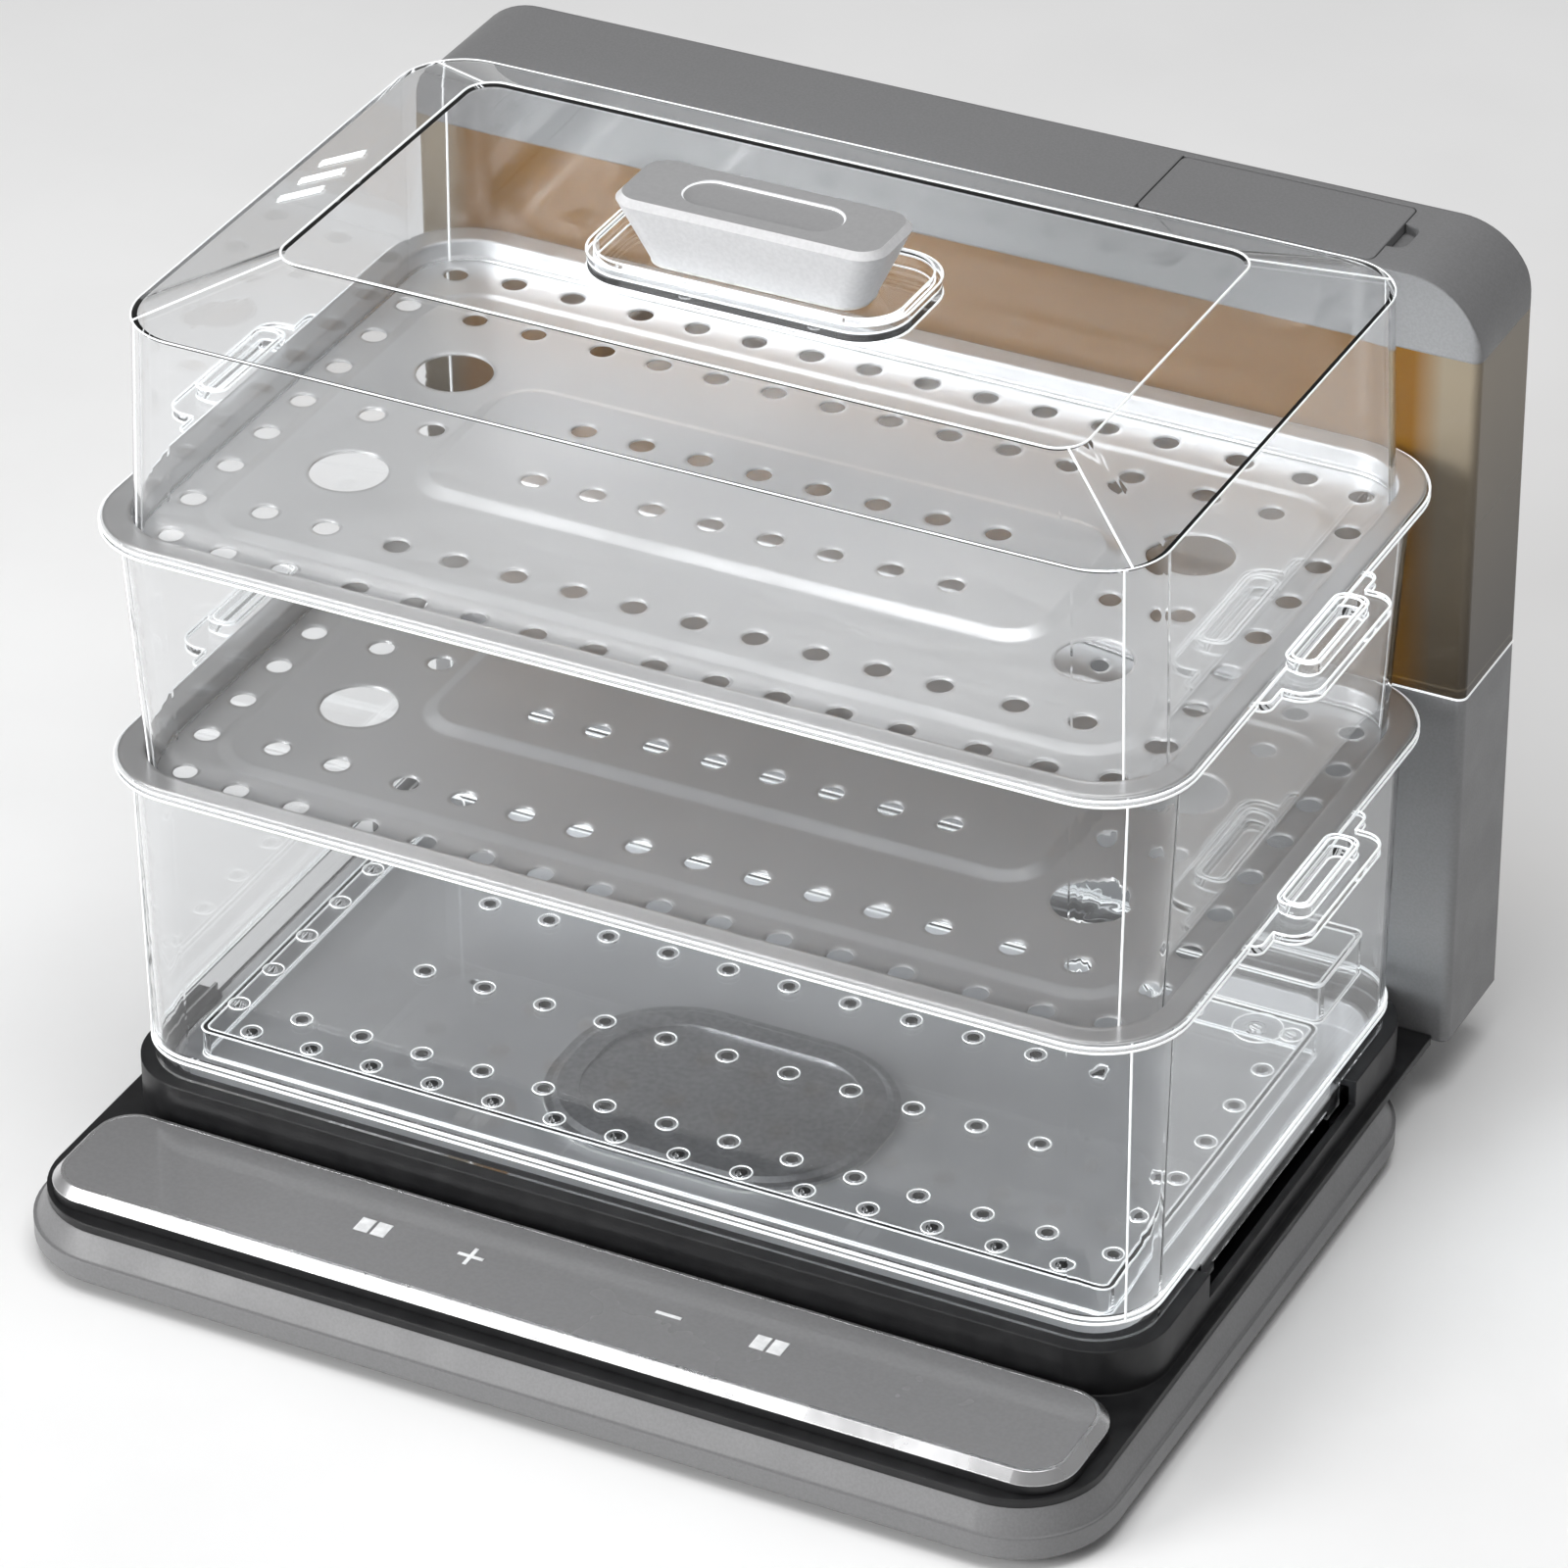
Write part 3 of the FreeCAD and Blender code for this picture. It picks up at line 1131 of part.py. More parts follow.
def tank():
    """The clear tank, its cap with the filling opening, and the valve in its floor."""
    foot = "tank_foot_z + seam_gap"
    outer = slab(0, foot, "cap_foot_z", 3.0)
    inner = slab("tank_wall", "%s + tank_wall" % foot, "cap_foot_z + 1", 0.8)
    valve_hole = at_valve("valve_tube_radius + 0.2", 8, "tank_foot_z - 2")
    keep(cut(outer, [inner, valve_hole]), "tank_shell")

    arched = round_edges(slab(0, "cap_foot_z", "cap_top_z"), number("cap_corner_radius"),
                         lambda b: across_y(b) and b.ZMin > number("cap_top_z") - 1)
    shell = common(arched, slab(0, "cap_foot_z", "cap_top_z", 3.0))
    room = slab("tank_wall", "cap_foot_z + 2", "cap_top_z - tank_wall")
    room = round_edges(room, number("cap_corner_radius - 4"),
                       lambda b: across_y(b) and b.ZMin > number("cap_top_z") - 5)
    lip = slab("tank_wall + 1.6", "cap_foot_z - 6", "cap_foot_z + 1")
    way = slab("2 * tank_wall + 1.6", "cap_foot_z - 7", "cap_foot_z + 3")
    hollow_cap = cut(fuse([shell, lip]), [room, way])

    wide = "fill_lid_right_x - fill_lid_left_x"
    deep = "fill_lid_back_y - fill_lid_front_y"
    lid_low = "cap_top_z - fill_lid_thickness"
    block = box(("%s + 14" % wide, "back_y - tower_front_y - 2 * tank_wall", 9),
                ("fill_lid_left_x - 7", "tower_front_y + tank_wall", "cap_top_z - 10"))
    recess = box(("%s + 2 * seam_gap" % wide, "%s + 2 * seam_gap" % deep, 8),
                 ("fill_lid_left_x - seam_gap", "fill_lid_front_y - seam_gap",
                  "%s - seam_gap" % lid_low))
    recess = round_edges(recess, 3.0, upright)
    hinge = ("fill_lid_left_x + hinge_inset", "cap_top_z - fill_lid_thickness / 2")
    groove = rod(3.9, "%s + 2 * seam_gap" % deep,
                 (hinge[0], "fill_lid_front_y - seam_gap", hinge[1]), "y")
    throat = box(("throat_length", "throat_width", 20), ("throat_x", "throat_y", "cap_top_z - 15"))
    throat = round_edges(throat, 4.0, upright)
    notch = box((10.4, 16, 8), ("fill_lid_right_x - 4", 137.9, "%s - seam_gap" % lid_low))
    notch = round_edges(notch, 5.0, upright)
    pin_hole = rod("hinge_pin_radius", "%s + 6" % deep,
                   (hinge[0], "fill_lid_front_y - 2.6", hinge[1]), "y")
    keep(cut(fuse([hollow_cap, block]), [recess, groove, throat, notch, pin_hole]), "tank_cap")
    keep(rod("hinge_pin_radius", "%s + 4.4" % deep,
             (hinge[0], "fill_lid_front_y - 2.2", hinge[1]), "y"), "hinge_pin")
    ring = slab("tank_wall + 0.1", "cap_foot_z - 4.5", "cap_foot_z - 2.5")
    keep(cut(ring, [slab("tank_wall + 1.6", "cap_foot_z - 6", "cap_foot_z - 1")]),
         "tank_cap_seal")

    flap = box((wide, deep, "fill_lid_thickness"), ("fill_lid_left_x", "fill_lid_front_y", lid_low))
    flap = round_edges(flap, 2.6, upright)
    eye = rod("hinge_pin_radius + 0.06", "%s + 4" % deep,
              (hinge[0], "fill_lid_front_y - 2", hinge[1]), "y")
    keep(cut(flap, [eye]), "fill_lid")
    in_throat = ["plug_gap", "(plug_gap + plug_wall)"]
    blocks = []
    for inset, tall, low in zip(in_throat, (3.4, 6), (3.4, 6.4)):
        blocks.append(box(("throat_length - 2 * %s" % inset, "throat_width - 2 * %s" % inset, tall),
                          ("throat_x + %s" % inset, "throat_y + %s" % inset,
                           "%s - %s" % (lid_low, low))))
    plug = round_edges(blocks[0], 3.4, upright)
    core = round_edges(blocks[1], 1.8, upright)
    keep(cut(plug, [core]), "fill_lid_seal")
    valve()


def valve():
    """A plunger that a spring holds down on its seat and that the dock's pin pushes up."""
    seat = "tank_foot_z - 6.6"
    tube = fuse([at_valve("valve_tube_radius", 18.6, seat),
                 at_valve("valve_tube_radius + 5", 2, "tank_foot_z + seam_gap + tank_wall")])
    hollow_tube = cut(tube, [at_valve("valve_bore_radius", 30, "%s + 2" % seat),
                             at_valve(4, 6, "%s - 1" % seat)])
    guide_z = "tank_foot_z + 10"
    guide = fuse([box((18, 4, 2), ("valve_x - 9", "valve_y - 2", guide_z)), at_valve(4, 2, guide_z)])
    windows = [box((24, 6, 3.6), ("valve_x - 12", "valve_y - 3", "tank_foot_z + 5.4")),
               box((6, 24, 3.6), ("valve_x - 3", "valve_y - 12", "tank_foot_z + 5.4")),
               at_valve(2.27, 6, "tank_foot_z + 8")]
    keep(cut(fuse([hollow_tube, guide]), windows), "valve_body")
    disc = "%s + 3.4" % seat
    keep(fuse([at_valve(6.5, 2, disc), at_valve("plunger_radius", 18, disc)]), "valve_plunger")
    keep(at_valve(6.3, 1, "%s - 1" % disc), "valve_seal")
    coil_z = "%s + 2.7" % disc
    helix = doc.addObject("Part::Helix", "coil_line")
    helix.Pitch = 2.2
    bind(helix, "Height", "(%s) - (%s) - 0.8" % (guide_z, coil_z))
    helix.Radius = 4.4
    wire = doc.addObject("Part::Circle", "wire_section")
    wire.Radius = 0.4
    wire.Placement = FreeCAD.Placement(Vector(4.4, 0, 0), TURN_TO["y"])
    spring = doc.addObject("Part::Sweep", "coil")
    spring.Sections = [wire]
    spring.Spine = (helix, [])
    spring.Solid = True
    spring.Frenet = True
    place(spring, ("valve_x", "valve_y", coil_z))
    keep(spring, "valve_spring")


# ---- finish ----------------------------------------------------------------------------------

middle_clear_box()
lower_clear_box()
lower_box_floor()
steel_tray("middle_steel_tray", "middle_tray_z")
steel_tray("upper_steel_tray", "upper_tray_z")
lid_pieces()
base_casing()
base_cover()
base_deck()
basin()
control_bar()
water_and_power()
tower()
tank()

doc.recompute()
for thing in doc.Objects:
    if "Invalid" in thing.State or "Error" in thing.State:
        raise RuntimeError("%s (%s) is %s" % (thing.Name, thing.Label, thing.State))
os.makedirs("parts", exist_ok=True)
for label, piece in pieces.items():
    if piece.Shape.isNull() or not piece.Shape.isValid() or not piece.Shape.Solids:
        raise RuntimeError(label + " has no valid shape")
    piece.Shape.exportStep("parts/%s.step" % label)
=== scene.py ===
"""The looks of an electric food steamer: materials, fine detail, stage, light and camera.

Metres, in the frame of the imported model: +Z up, +Y towards the rear tower.
"""

import math
import bmesh
import bpy
from mathutils import Matrix, Vector


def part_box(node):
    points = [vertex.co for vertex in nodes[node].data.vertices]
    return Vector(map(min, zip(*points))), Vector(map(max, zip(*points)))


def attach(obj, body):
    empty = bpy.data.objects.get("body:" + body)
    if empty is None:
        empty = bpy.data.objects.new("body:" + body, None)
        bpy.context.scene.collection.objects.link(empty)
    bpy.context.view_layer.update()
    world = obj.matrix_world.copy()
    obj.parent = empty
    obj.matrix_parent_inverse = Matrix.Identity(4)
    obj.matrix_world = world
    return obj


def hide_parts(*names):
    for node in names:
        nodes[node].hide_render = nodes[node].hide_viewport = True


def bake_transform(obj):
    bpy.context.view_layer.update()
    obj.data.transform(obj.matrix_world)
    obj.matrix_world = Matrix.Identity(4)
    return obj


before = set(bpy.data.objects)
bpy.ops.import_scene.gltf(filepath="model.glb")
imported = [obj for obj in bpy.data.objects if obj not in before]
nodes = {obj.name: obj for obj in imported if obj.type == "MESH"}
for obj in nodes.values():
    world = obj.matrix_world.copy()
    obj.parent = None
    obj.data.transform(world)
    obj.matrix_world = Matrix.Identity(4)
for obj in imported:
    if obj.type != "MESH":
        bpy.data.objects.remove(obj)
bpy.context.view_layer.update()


# ---- materials -------------------------------------------------------------------------------

TANK_END_BAND = 0.022
TANK_END_FADE = 0.010


class Material:
    """A node material round one Principled shader, with short calls for what feeds it."""

    def __init__(self, name, colour, roughness, metallic=0.0):
        self.made = bpy.data.materials.new(name)
        self.made.use_nodes = True
        self.tree = self.made.node_tree
        self.shader = self.tree.nodes["Principled BSDF"]
        self.output = self.tree.nodes["Material Output"]
        self.set("Base Color", (*colour, 1))
        self.set("Roughness", roughness)
        self.set("Metallic", metallic)
        coordinates = self.node("ShaderNodeTexCoord")
        self.place = coordinates.outputs["Object"]
        self.facing = coordinates.outputs["Normal"]
        self.normal = None

    def set(self, socket, value):
        self.shader.inputs[socket].default_value = value

    def node(self, kind, **values):
        made = self.tree.nodes.new(kind)
        for key, value in values.items():
            if key in made.inputs:
                made.inputs[key].default_value = value
            else:
                setattr(made, key, value)
        return made

    def link(self, source, target):
        self.tree.links.new(source, target)

    def stretched(self, scale):
        mapping = self.node("ShaderNodeMapping")
        mapping.inputs["Scale"].default_value = scale
        self.link(self.place, mapping.inputs["Vector"])
        return mapping.outputs["Vector"]

    def noise(self, scale, detail=4.0, stretch=(1, 1, 1)):
        made = self.node("ShaderNodeTexNoise", Scale=scale, Detail=detail)
        self.link(self.stretched(stretch), made.inputs["Vector"])
        return made.outputs["Fac"]

    def ramp(self, source, low, high, start=0.35, end=0.65):
        """The source turned into colours from low to high, given as rgb or grey."""
        made = self.node("ShaderNodeValToRGB")
        for element, place, colour in zip(made.color_ramp.elements, (start, end), (low, high)):
            element.position = place
            element.color = (*colour, 1) if isinstance(colour, tuple) else (colour,) * 3 + (1,)
        self.link(source, made.inputs["Fac"])
        return made.outputs["Color"]

    def colour(self, source, low, high, start=0.35, end=0.65):
        self.link(self.ramp(source, low, high, start, end), self.shader.inputs["Base Color"])

    def roughness(self, source, low, high):
        self.link(self.ramp(source, low, high), self.shader.inputs["Roughness"])

    def along(self, vector, axis, low, high):
        """One axis of a vector, without its sign, spread from 0 at low to 1 at high."""
        parts = self.node("ShaderNodeSeparateXYZ")
        self.link(vector, parts.inputs["Vector"])
        size = self.node("ShaderNodeMath", operation="ABSOLUTE")
        self.link(parts.outputs[axis], size.inputs[0])
        spread = self.node("ShaderNodeMapRange")
        spread.inputs["From Min"].default_value = low
        spread.inputs["From Max"].default_value = high
        self.link(size.outputs["Value"], spread.inputs["Value"])
        return spread.outputs["Result"]

    def blend(self, amount, first, second):
        """Base colour that goes from the first source to the second."""
        made = self.node("ShaderNodeMix", data_type="RGBA")
        self.link(amount, made.inputs["Factor"])
        for source, target in zip((first, second), (made.inputs[6], made.inputs[7])):
            self.link(source, target)
        self.link(made.outputs[2], self.shader.inputs["Base Color"])

    def rounded_edges(self, radius):
        """Soften sharp edges as a moulded or pressed piece has them."""
        made = self.node("ShaderNodeBevel", samples=4)
        made.inputs["Radius"].default_value = radius
        self.normal = made.outputs["Normal"]
        self.link(self.normal, self.shader.inputs["Normal"])

    def bump(self, source, distance, strength=1.0):
        made = self.node("ShaderNodeBump", Strength=strength, Distance=distance)
        self.link(source, made.inputs["Height"])
        if self.normal is not None:
            self.link(self.normal, made.inputs["Normal"])
        self.normal = made.outputs["Normal"]
        self.link(self.normal, self.shader.inputs["Normal"])

    def lets_lamps_through(self, tint):
        """Shadow rays pass, so that what is behind the clear wall is lit."""
        clear = self.node("ShaderNodeBsdfTransparent")
        clear.inputs["Color"].default_value = (*tint, 1)
        path = self.node("ShaderNodeLightPath")
        mix = self.node("ShaderNodeMixShader")
        self.link(path.outputs["Is Shadow Ray"], mix.inputs["Fac"])
        self.link(self.shader.outputs["BSDF"], mix.inputs[1])
        self.link(clear.outputs["BSDF"], mix.inputs[2])
        self.link(mix.outputs["Shader"], self.output.inputs["Surface"])

    def wear(self, *names):
        """Put this material on CAD nodes or pieces."""
        for name in names:
            target = nodes[name] if isinstance(name, str) else name
            target.data.materials.clear()
            target.data.materials.append(self.made)


def silver_plastic():
    made = Material("silver_plastic", (0.21, 0.21, 0.213), roughness=0.42)
    made.colour(made.noise(scale=1100, detail=2), (0.175, 0.175, 0.178), (0.195, 0.195, 0.199))
    made.roughness(made.noise(scale=60), low=0.36, high=0.46)
    made.rounded_edges(radius=0.0012)
    made.bump(made.noise(scale=1800, detail=2), distance=0.00002, strength=0.25)
    return made


def dark_plastic():
    made = Material("dark_plastic", (0.014, 0.014, 0.015), roughness=0.36)
    made.set("Specular IOR Level", 0.35)
    made.colour(made.noise(scale=120), (0.011, 0.011, 0.012), (0.018, 0.018, 0.019))
    made.roughness(made.noise(scale=40), low=0.30, high=0.44)
    made.rounded_edges(radius=0.0010)
    made.bump(made.noise(scale=1500, detail=2), distance=0.00003, strength=0.4)
    return made


def clear_plastic():
    made = Material("clear_plastic", (0.985, 0.99, 0.995), roughness=0.02)
    made.set("Transmission Weight", 1.0)
    made.set("IOR", 1.45)
    made.roughness(made.noise(scale=25), low=0.005, high=0.035)
    made.bump(made.noise(scale=35, detail=1), distance=0.0002, strength=0.05)
    made.lets_lamps_through((0.96, 0.97, 0.975))
    return made


def painted_edge_highlight():
    """Painted highlight: a pale, faintly glowing finish for rods laid where a clear moulding ends or
    bends, so each edge reads as a white line.
    """
    made = Material("painted_edge_highlight", (0.93, 0.94, 0.95), roughness=0.22)
    made.colour(made.noise(scale=90), (0.86, 0.88, 0.90), (0.97, 0.98, 0.98))
    made.roughness(made.noise(scale=200), low=0.15, high=0.3)
    made.set("Coat Weight", 0.5)
    # painted glow: the lines give off a little light of their own, though they are no lamp
    made.set("Emission Color", (0.93, 0.95, 0.96, 1))
    made.set("Emission Strength", 0.28)
    made.lets_lamps_through((0.97, 0.97, 0.97))
    return made


def smoked_tank():
    """Amber across the front and the back, greyer at the ends, darker towards the foot."""
    made = Material("smoked_tank", (0.22, 0.12, 0.04), roughness=0.06)
    made.set("Transmission Weight", 0.3)
    made.set("Specular IOR Level", 0.3)
    made.set("IOR", 1.38)
    low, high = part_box("tank_shell")
    level = made.along(made.place, "Z", low.z, high.z)
    front = made.ramp(level, (0.12, 0.056, 0.008), (0.20, 0.094, 0.012), start=0.05, end=0.95)
    side = made.ramp(level, (0.065, 0.050, 0.032), (0.28, 0.235, 0.172), start=0.05, end=0.95)
    grey_from = high.x - TANK_END_BAND
    made.blend(made.along(made.place, "X", grey_from, grey_from + TANK_END_FADE), front, side)
    made.roughness(made.noise(scale=30), low=0.04, high=0.10)
    made.lets_lamps_through((0.72, 0.62, 0.48))
    return made


def stainless():
    made = Material("stainless", (0.66, 0.66, 0.665), roughness=0.34, metallic=0.8)
    grain = made.noise(scale=160, detail=3, stretch=(0.25, 1, 1))
    made.colour(made.noise(scale=9, detail=2), (0.63, 0.63, 0.635), (0.69, 0.69, 0.695))
    made.roughness(grain, low=0.31, high=0.38)
    made.rounded_edges(radius=0.0022)
    made.bump(made.noise(scale=900, detail=2), distance=0.00001, strength=0.2)
    return made


def basin_metal():
    made = Material("basin_metal", (0.60, 0.60, 0.61), roughness=0.5, metallic=0.7)
    made.colour(made.noise(scale=14), (0.56, 0.56, 0.57), (0.66, 0.66, 0.67))
    made.roughness(made.noise(scale=110), low=0.44, high=0.56)
    made.rounded_edges(radius=0.0015)
    made.bump(made.noise(scale=1200, detail=2), distance=0.00002, strength=0.3)
    return made


def polished_trim():
    made = Material("polished_trim", (0.82, 0.82, 0.83), roughness=0.28, metallic=1.0)
    made.roughness(made.noise(scale=80), low=0.24, high=0.32)
    made.rounded_edges(radius=0.0004)
    return made


def panel_glass():
    made = Material("panel_glass", (0.21, 0.21, 0.215), roughness=0.2)
    made.colour(made.noise(scale=700, detail=2), (0.200, 0.200, 0.204), (0.214, 0.214, 0.218))
    made.roughness(made.noise(scale=18), low=0.22, high=0.28)
    made.set("Coat Weight", 0.6)
    made.set("Coat Roughness", 0.08)
    made.rounded_edges(radius=0.0006)
    return made


def simple(name, colour, roughness, metallic=0.0, grain=300, spread=0.12):
    """A plain material with fine colour and roughness variation."""
    made = Material(name, colour, roughness, metallic)
    low = tuple(c * (1 - spread) for c in colour)
    high = tuple(min(1.0, c * (1 + spread)) for c in colour)
    made.colour(made.noise(grain), low, high)
    made.roughness(made.noise(grain / 4), roughness * 0.85, min(1.0, roughness * 1.15))
    made.rounded_edges(radius=0.0005)
    made.bump(made.noise(grain * 4, detail=2), distance=0.00002, strength=0.3)
    return made


def pale_handle():
    """White sides and rim round a greyer top face, chosen by which way each face points: painted
    light on the sides and painted shade on the top.
    """
    made = Material("pale_handle", (0.70, 0.70, 0.71), roughness=0.38)
    grain = made.noise(scale=700)
    sides = made.ramp(grain, (0.58, 0.58, 0.59), (0.63, 0.63, 0.64))
    top = made.ramp(grain, (0.32, 0.32, 0.325), (0.34, 0.34, 0.345))
    # painted shade: faces that point up get the darker grey, all others the whiter one
    made.blend(made.along(made.facing, "Z", low=0.86, high=0.96), sides, top)
    made.roughness(made.noise(scale=120), low=0.33, high=0.43)
    made.bump(made.noise(scale=1500, detail=2), distance=0.00002, strength=0.3)
    return made


silver_plastic().wear("base_pan", "tower_housing", "tank_cap", "fill_lid")
dark_plastic().wear("base_deck", "base_bottom_cover", "control_panel_housing",
                    "tower_back_cover", "water_pump", "cable_gland", "tank_dock")
clear_plastic().wear("lower_clear_box", "lower_floor", "locating_rim", "rear_shelf",
                     "middle_clear_box", "lid_shell")
smoked_tank().wear("tank_shell")
stainless().wear("middle_steel_tray", "upper_steel_tray")
basin_metal().wear("basin_pan")
polished_trim().wear("panel_trim")
panel_glass().wear("panel_glass")
simple("white_print", (0.85, 0.86, 0.87), roughness=0.4).wear("touch_icons")
simple("rubber_dark", (0.03, 0.03, 0.03), roughness=0.75).wear("rubber_feet")
simple("silicone", (0.62, 0.62, 0.60), roughness=0.5).wear(
    "plate_gasket", "dock_seal", "tank_cap_seal", "fill_lid_seal", "valve_seal", "handle_seal",
    "inlet_hose", "outlet_hose")
simple("heater_alloy", (0.42, 0.42, 0.43), roughness=0.38, metallic=1.0, grain=500).wear(
    "heating_plate")
simple("zinc_steel", (0.55, 0.55, 0.57), roughness=0.34, metallic=1.0, grain=500).wear(
    "heating_element", "thermostat", "thermal_fuse", "base_screws", "tower_screws",
    "handle_screws", "hinge_pin", "valve_spring", "touch_springs")
simple("board_green", (0.03, 0.13, 0.06), roughness=0.45).wear("control_board", "power_board")
simple("pale_grip", (0.55, 0.55, 0.56), roughness=0.38, grain=700, spread=0.03).wear(
    "valve_body", "valve_plunger", "valve_pin")
pale_handle().wear("lid_handle")
simple("grey_inlay", (0.30, 0.30, 0.305), roughness=0.35, grain=700, spread=0.03).wear("handle_inlay")


# ---- painted highlight lines along the edges of the clear mouldings --------------------------

# sizes in metres: radii of the lines, parts of the mouldings, and how near counts as the same
LINE_RADIUS = 0.00042
THIN_RADIUS = 0.0003
RING_RADIUS = 0.0003
SHARP = math.radians(28)
SHALLOW = math.radians(8)
FLANGE = 0.002
TRAY_SEAT = 0.001
LEVEL = 0.0003
LID_DRAFT = 0.0023
SAME_POINT = 1e-6
RING_REACH = 0.0075
RING_SIDES = 20


def chains(edges):
    """Join edges end to end into runs of points. A run stops where three or more meet."""
    links = {}
    for edge in edges:
        for vert in edge.verts:
            links.setdefault(vert, []).append(edge)
    unused = set(edges)
    runs = []
    for start in [vert for vert in links if len(links[vert]) != 2] + list(links):
        for edge in links[start]:
            if edge not in unused:
                continue
            vert = start
            run = [vert.co.copy()]
            while edge in unused:
                unused.discard(edge)
                vert = edge.other_vert(vert)
                run.append(vert.co.copy())
                if len(links[vert]) == 2:
                    edge = next((other for other in links[vert] if other in unused), edge)
            runs.append(run)
    return runs


def sharp_runs(name, wanted, bend=SHARP):
    """Runs along the edges of a CAD node that bend enough and whose middle point is wanted."""
    shape = bmesh.new()
    shape.from_mesh(nodes[name].data)
    bmesh.ops.remove_doubles(shape, verts=shape.verts, dist=SAME_POINT)
    edges = [edge for edge in shape.edges
             if len(edge.link_faces) == 2 and edge.calc_face_angle() > bend
             and wanted((edge.verts[0].co + edge.verts[1].co) / 2)]
    runs = chains(edges)
    shape.free()
    return runs


def corner_runs(name, low_z, high_z, hip=False):
    """One line up each rounded corner: upright between two heights, or along the hip of a roof."""
    points = [vert.co for vert in nodes[name].data.vertices]
    runs = []
    for side_x in (-1, 1):
        for side_y in (-1, 1):
            def reach(point):
                return side_x * point.x + side_y * point.y
            low = max((p for p in points if abs(p.z - low_z) < LEVEL), key=reach)

            def away(point):
                return -reach(point) if hip else (point.xy - low.xy).length
            high = min((p for p in points if abs(p.z - high_z) < LEVEL), key=away)
            runs.append([low.copy(), high.copy()])
    return runs


def line_piece(name, runs, radius, body, material):
    """Thin rods along the runs, riding on a body and wearing the given material."""
    curve = bpy.data.curves.new(name, "CURVE")
    curve.dimensions = "3D"
    curve.bevel_depth = radius
    curve.bevel_resolution = 2
    curve.use_fill_caps = True
    for run in runs:
        spline = curve.splines.new("POLY")
        spline.points.add(len(run) - 1)
        for point, place in zip(spline.points, run):
            point.co = (*place, 1)
    made = bpy.data.objects.new(name, curve)
    bpy.context.scene.collection.objects.link(made)
    material.wear(made)
    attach(made, body)


def drain_rings(name, body, material):
    """A painted highlight ring round each drain hole, found from the raised rims on the floor."""
    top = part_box(name)[1].z
    rims = [vert.co.copy() for vert in nodes[name].data.vertices if abs(vert.co.z - top) < LEVEL]
    groups = []
    for place in rims:
        near = next((group for group in groups if (group[0] - place).length < RING_REACH), None)
        if near is None:
            groups.append([place])
        else:
            near.append(place)
    runs = []
    for group in groups:
        middle = sum(group, Vector()) / len(group)
        radius = max((place - middle).length for place in group)
        turns = [math.tau * step / RING_SIDES for step in range(RING_SIDES + 1)]
        runs.append([middle + Vector((math.cos(turn), math.sin(turn), 0)) * radius
                     for turn in turns])
    line_piece("floor_ring_lines", runs, RING_RADIUS, body, material)


def flange_foot(tray):
    """The underside of the clear flange that carries a tray."""
    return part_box(tray)[1].z - TRAY_SEAT - FLANGE


def clear_edges():
    """The painted highlight lines of every clear moulding, of the handle's inlay and of the tank."""
    painted_highlight = painted_edge_highlight()
    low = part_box("middle_clear_box")[0]
    runs = sharp_runs("middle_clear_box", lambda point: point.z > low.z + FLANGE)
    runs += corner_runs("middle_clear_box", low.z, flange_foot("upper_steel_tray"))
    line_piece("middle_box_edge_lines", runs, LINE_RADIUS, "middle_box", painted_highlight)
    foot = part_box("lower_floor")[0].z
    runs = sharp_runs("lower_clear_box", lambda point: point.z > foot - LEVEL)
    runs += corner_runs("lower_clear_box", foot, flange_foot("middle_steel_tray"))
    line_piece("lower_box_edge_lines", runs, LINE_RADIUS, "lower_box", painted_highlight)
    runs = sharp_runs("rear_shelf", lambda point: point.z > foot)
    line_piece("shelf_edge_lines", runs, LINE_RADIUS, "lower_box", painted_highlight)
    drain_rings("lower_floor", "lower_box", painted_highlight)
    runs = sharp_runs("locating_rim", lambda point: True)
    line_piece("rim_edge_lines", runs, LINE_RADIUS, "lower_box", painted_highlight)
    lid_lines(painted_highlight)
    low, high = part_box("handle_inlay")
    runs = sharp_runs("handle_inlay", lambda point: point.z > high.z - LEVEL)
    line_piece("handle_outline", runs, LINE_RADIUS, "lid", painted_highlight)
    low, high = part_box("tank_shell")
    runs = sharp_runs("tank_shell", lambda point: point.z < high.z - FLANGE)
    line_piece("tank_edge_lines", runs, LINE_RADIUS, "water_tank", painted_highlight)


def lid_lines(painted_highlight):
    """The lid's painted highlight lines: corners, hips, roof outline and vents, and a thinner line
    round its eave.
    """
    low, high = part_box("lid_shell")
    eave = max(vert.co.z for vert in nodes["lid_shell"].data.vertices
               if vert.co.x > high.x - LID_DRAFT)

    def on_eave(point):
        return abs(point.z - eave) < LEVEL

    def on_roof(point):
        return point.z > high.z - LEVEL
    runs = sharp_runs("lid_shell", lambda point: point.z > eave + FLANGE and not on_roof(point))
    runs += sharp_runs("lid_shell", on_roof, SHALLOW)
    runs += corner_runs("lid_shell", low.z, eave)
    runs += corner_runs("lid_shell", eave, high.z, hip=True)
    line_piece("lid_edge_lines", runs, LINE_RADIUS, "lid", painted_highlight)
    line_piece("eave_lines", sharp_runs("lid_shell", on_eave), THIN_RADIUS, "lid", painted_highlight)


clear_edges()


# ---- valve spring ----------------------------------------------------------------------------


def valve_coil():
    """A copy of the valve's spring, standing in for the CAD node, which is hidden."""
    made = bpy.data.objects.new("valve_coil", nodes["valve_spring"].data.copy())
    bpy.context.scene.collection.objects.link(made)
    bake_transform(made)
    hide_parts("valve_spring")


valve_coil()


# ---- stage, light and camera -----------------------------------------------------------------

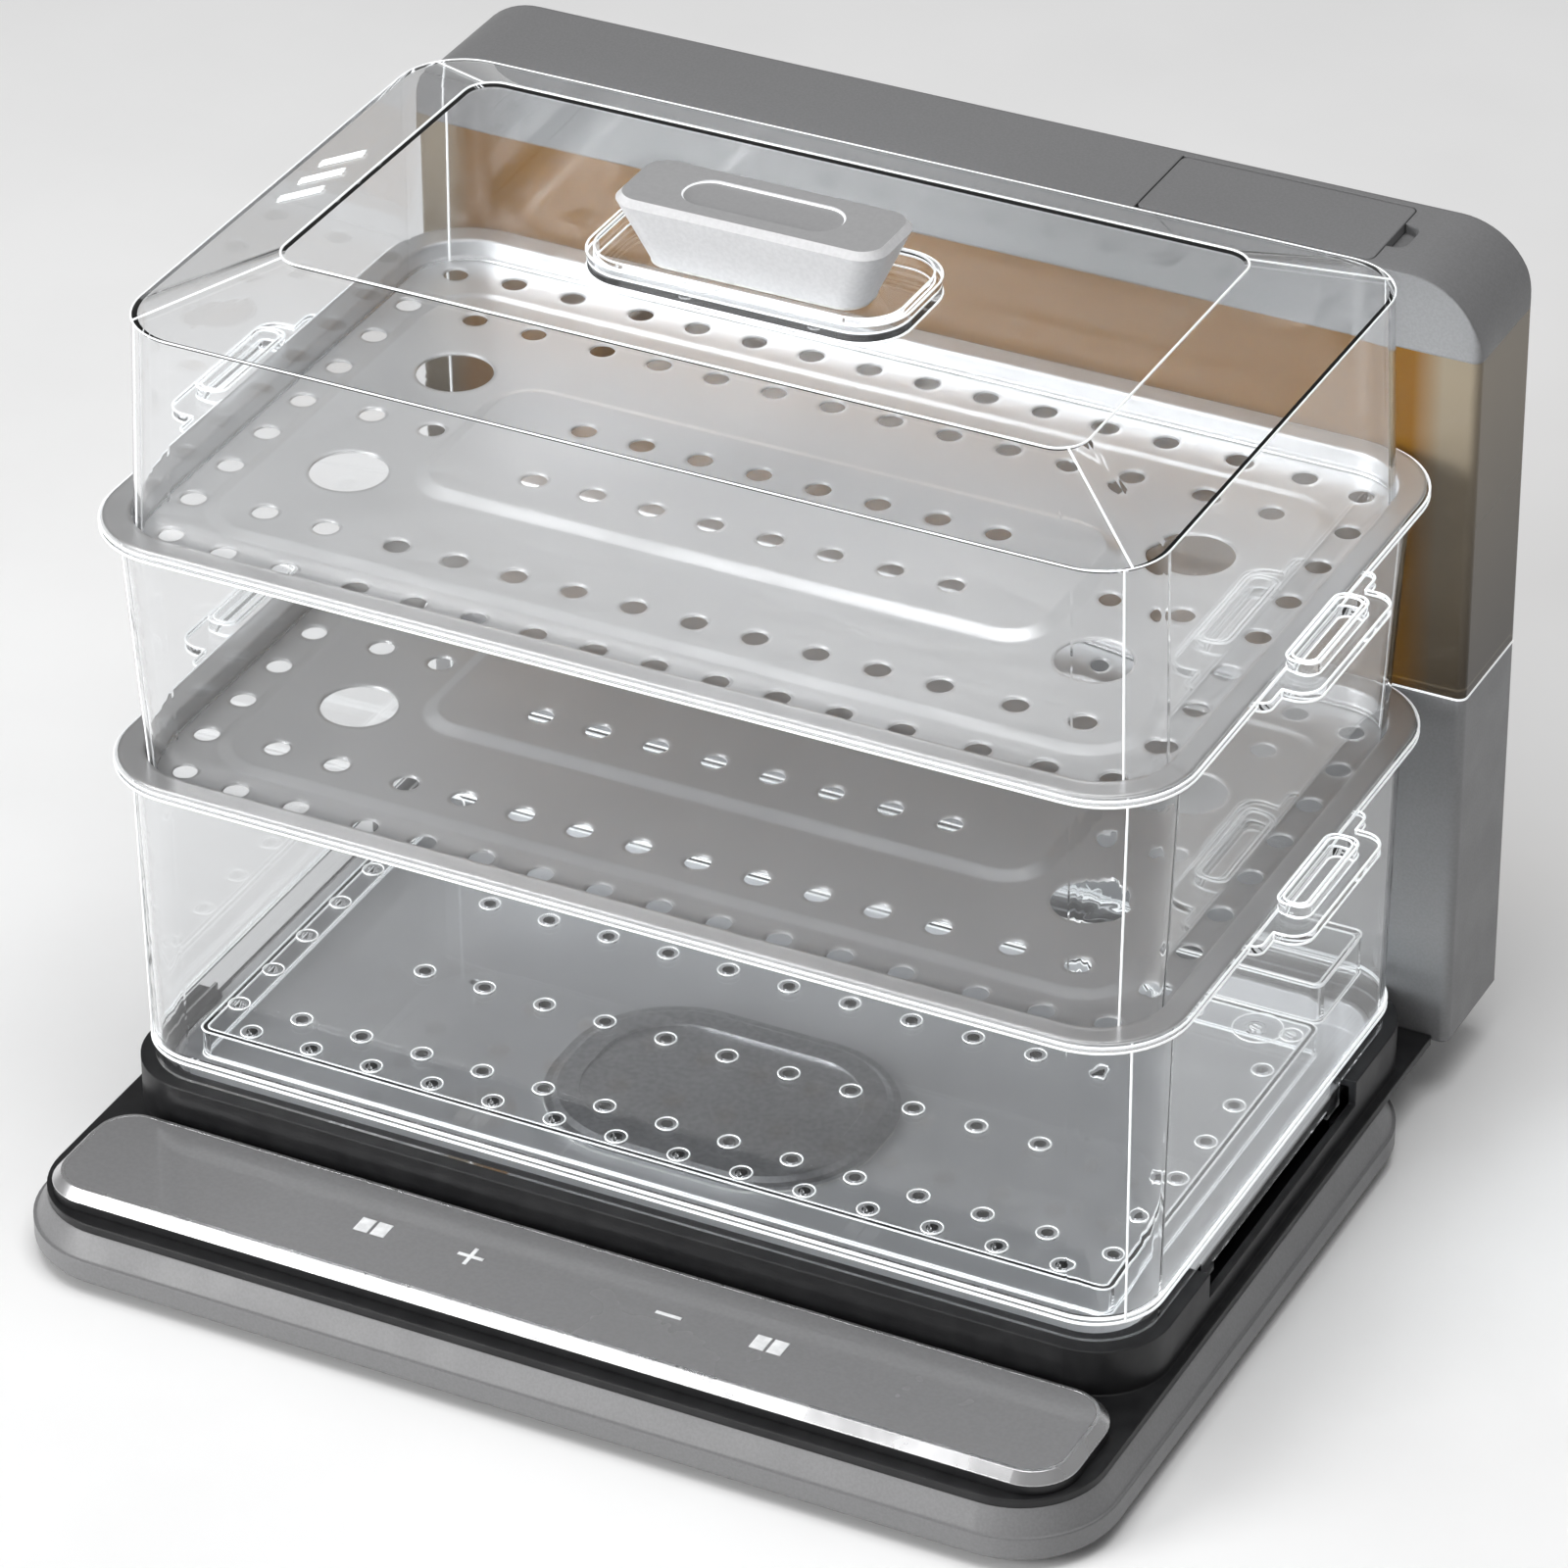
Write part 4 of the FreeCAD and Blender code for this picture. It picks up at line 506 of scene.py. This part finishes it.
FLOOR_HALF = 6.0
WORLD_STRENGTH = 0.26
LIT_POINT = (0, 0, 0.15)
KEY_PLACE = (-1.9, -2.6, 1.1)
KEY_SIZE = (1.6, 1.4)
KEY_WATTS = 86
OVERHEAD_PLACE = (0.2, -0.3, 2.2)
OVERHEAD_SIZE = (1.8, 1.4)
OVERHEAD_WATTS = 32


def floor():
    mesh = bpy.data.meshes.new("floor")
    made = bpy.data.objects.new("floor", mesh)
    bpy.context.scene.collection.objects.link(made)
    shape = bmesh.new()
    signs = ((-1, -1), (1, -1), (1, 1), (-1, 1))
    corners = [shape.verts.new((x * FLOOR_HALF, y * FLOOR_HALF, 0)) for x, y in signs]
    shape.faces.new(corners)
    shape.to_mesh(mesh)
    shape.free()
    simple("floor_paint", (0.92, 0.92, 0.92), roughness=0.6, grain=8, spread=0.015).wear(made)


def softbox(name, place, size, watts):
    """A rectangular lamp that looks at the middle of the object."""
    lamp = bpy.data.lights.new(name, "AREA")
    lamp.shape = "RECTANGLE"
    lamp.size, lamp.size_y = size
    lamp.energy = watts
    made = bpy.data.objects.new(name, lamp)
    bpy.context.scene.collection.objects.link(made)
    made.location = place
    direction = Vector(LIT_POINT) - Vector(place)
    made.rotation_euler = direction.to_track_quat("-Z", "Y").to_euler()


def lighting():
    world = bpy.data.worlds.new("studio")
    bpy.context.scene.world = world
    world.use_nodes = True
    background = world.node_tree.nodes["Background"]
    background.inputs["Color"].default_value = (1.0, 1.0, 1.0, 1)
    background.inputs["Strength"].default_value = WORLD_STRENGTH
    softbox("front_left", KEY_PLACE, KEY_SIZE, KEY_WATTS)
    softbox("overhead", OVERHEAD_PLACE, OVERHEAD_SIZE, OVERHEAD_WATTS)
    bpy.context.scene.view_settings.view_transform = "Standard"


# camera: angles in degrees, place in metres, lens and sensor in millimetres
VIEW_AZIMUTH = 26.91
VIEW_ELEVATION = 32.55
VIEW_ROLL = -0.43
CAMERA_PLACE = (0.9115, -1.7775, 1.4159)
CAMERA_LENS = 171.36
CAMERA_SENSOR = 36.0


def camera():
    data = bpy.data.cameras.new("camera")
    data.sensor_width = CAMERA_SENSOR
    data.lens = CAMERA_LENS
    made = bpy.data.objects.new("camera", data)
    bpy.context.scene.collection.objects.link(made)
    turn = math.radians(VIEW_AZIMUTH)
    tilt = math.radians(VIEW_ELEVATION)
    forward = Vector((-math.sin(turn) * math.cos(tilt), math.cos(turn) * math.cos(tilt),
                      -math.sin(tilt)))
    made.rotation_mode = "QUATERNION"
    aim = forward.to_track_quat("-Z", "Y")
    roll = Matrix.Rotation(math.radians(VIEW_ROLL), 3, "Z").to_quaternion()
    made.rotation_quaternion = aim @ roll
    made.location = CAMERA_PLACE
    bpy.context.scene.camera = made


floor()
lighting()
camera()
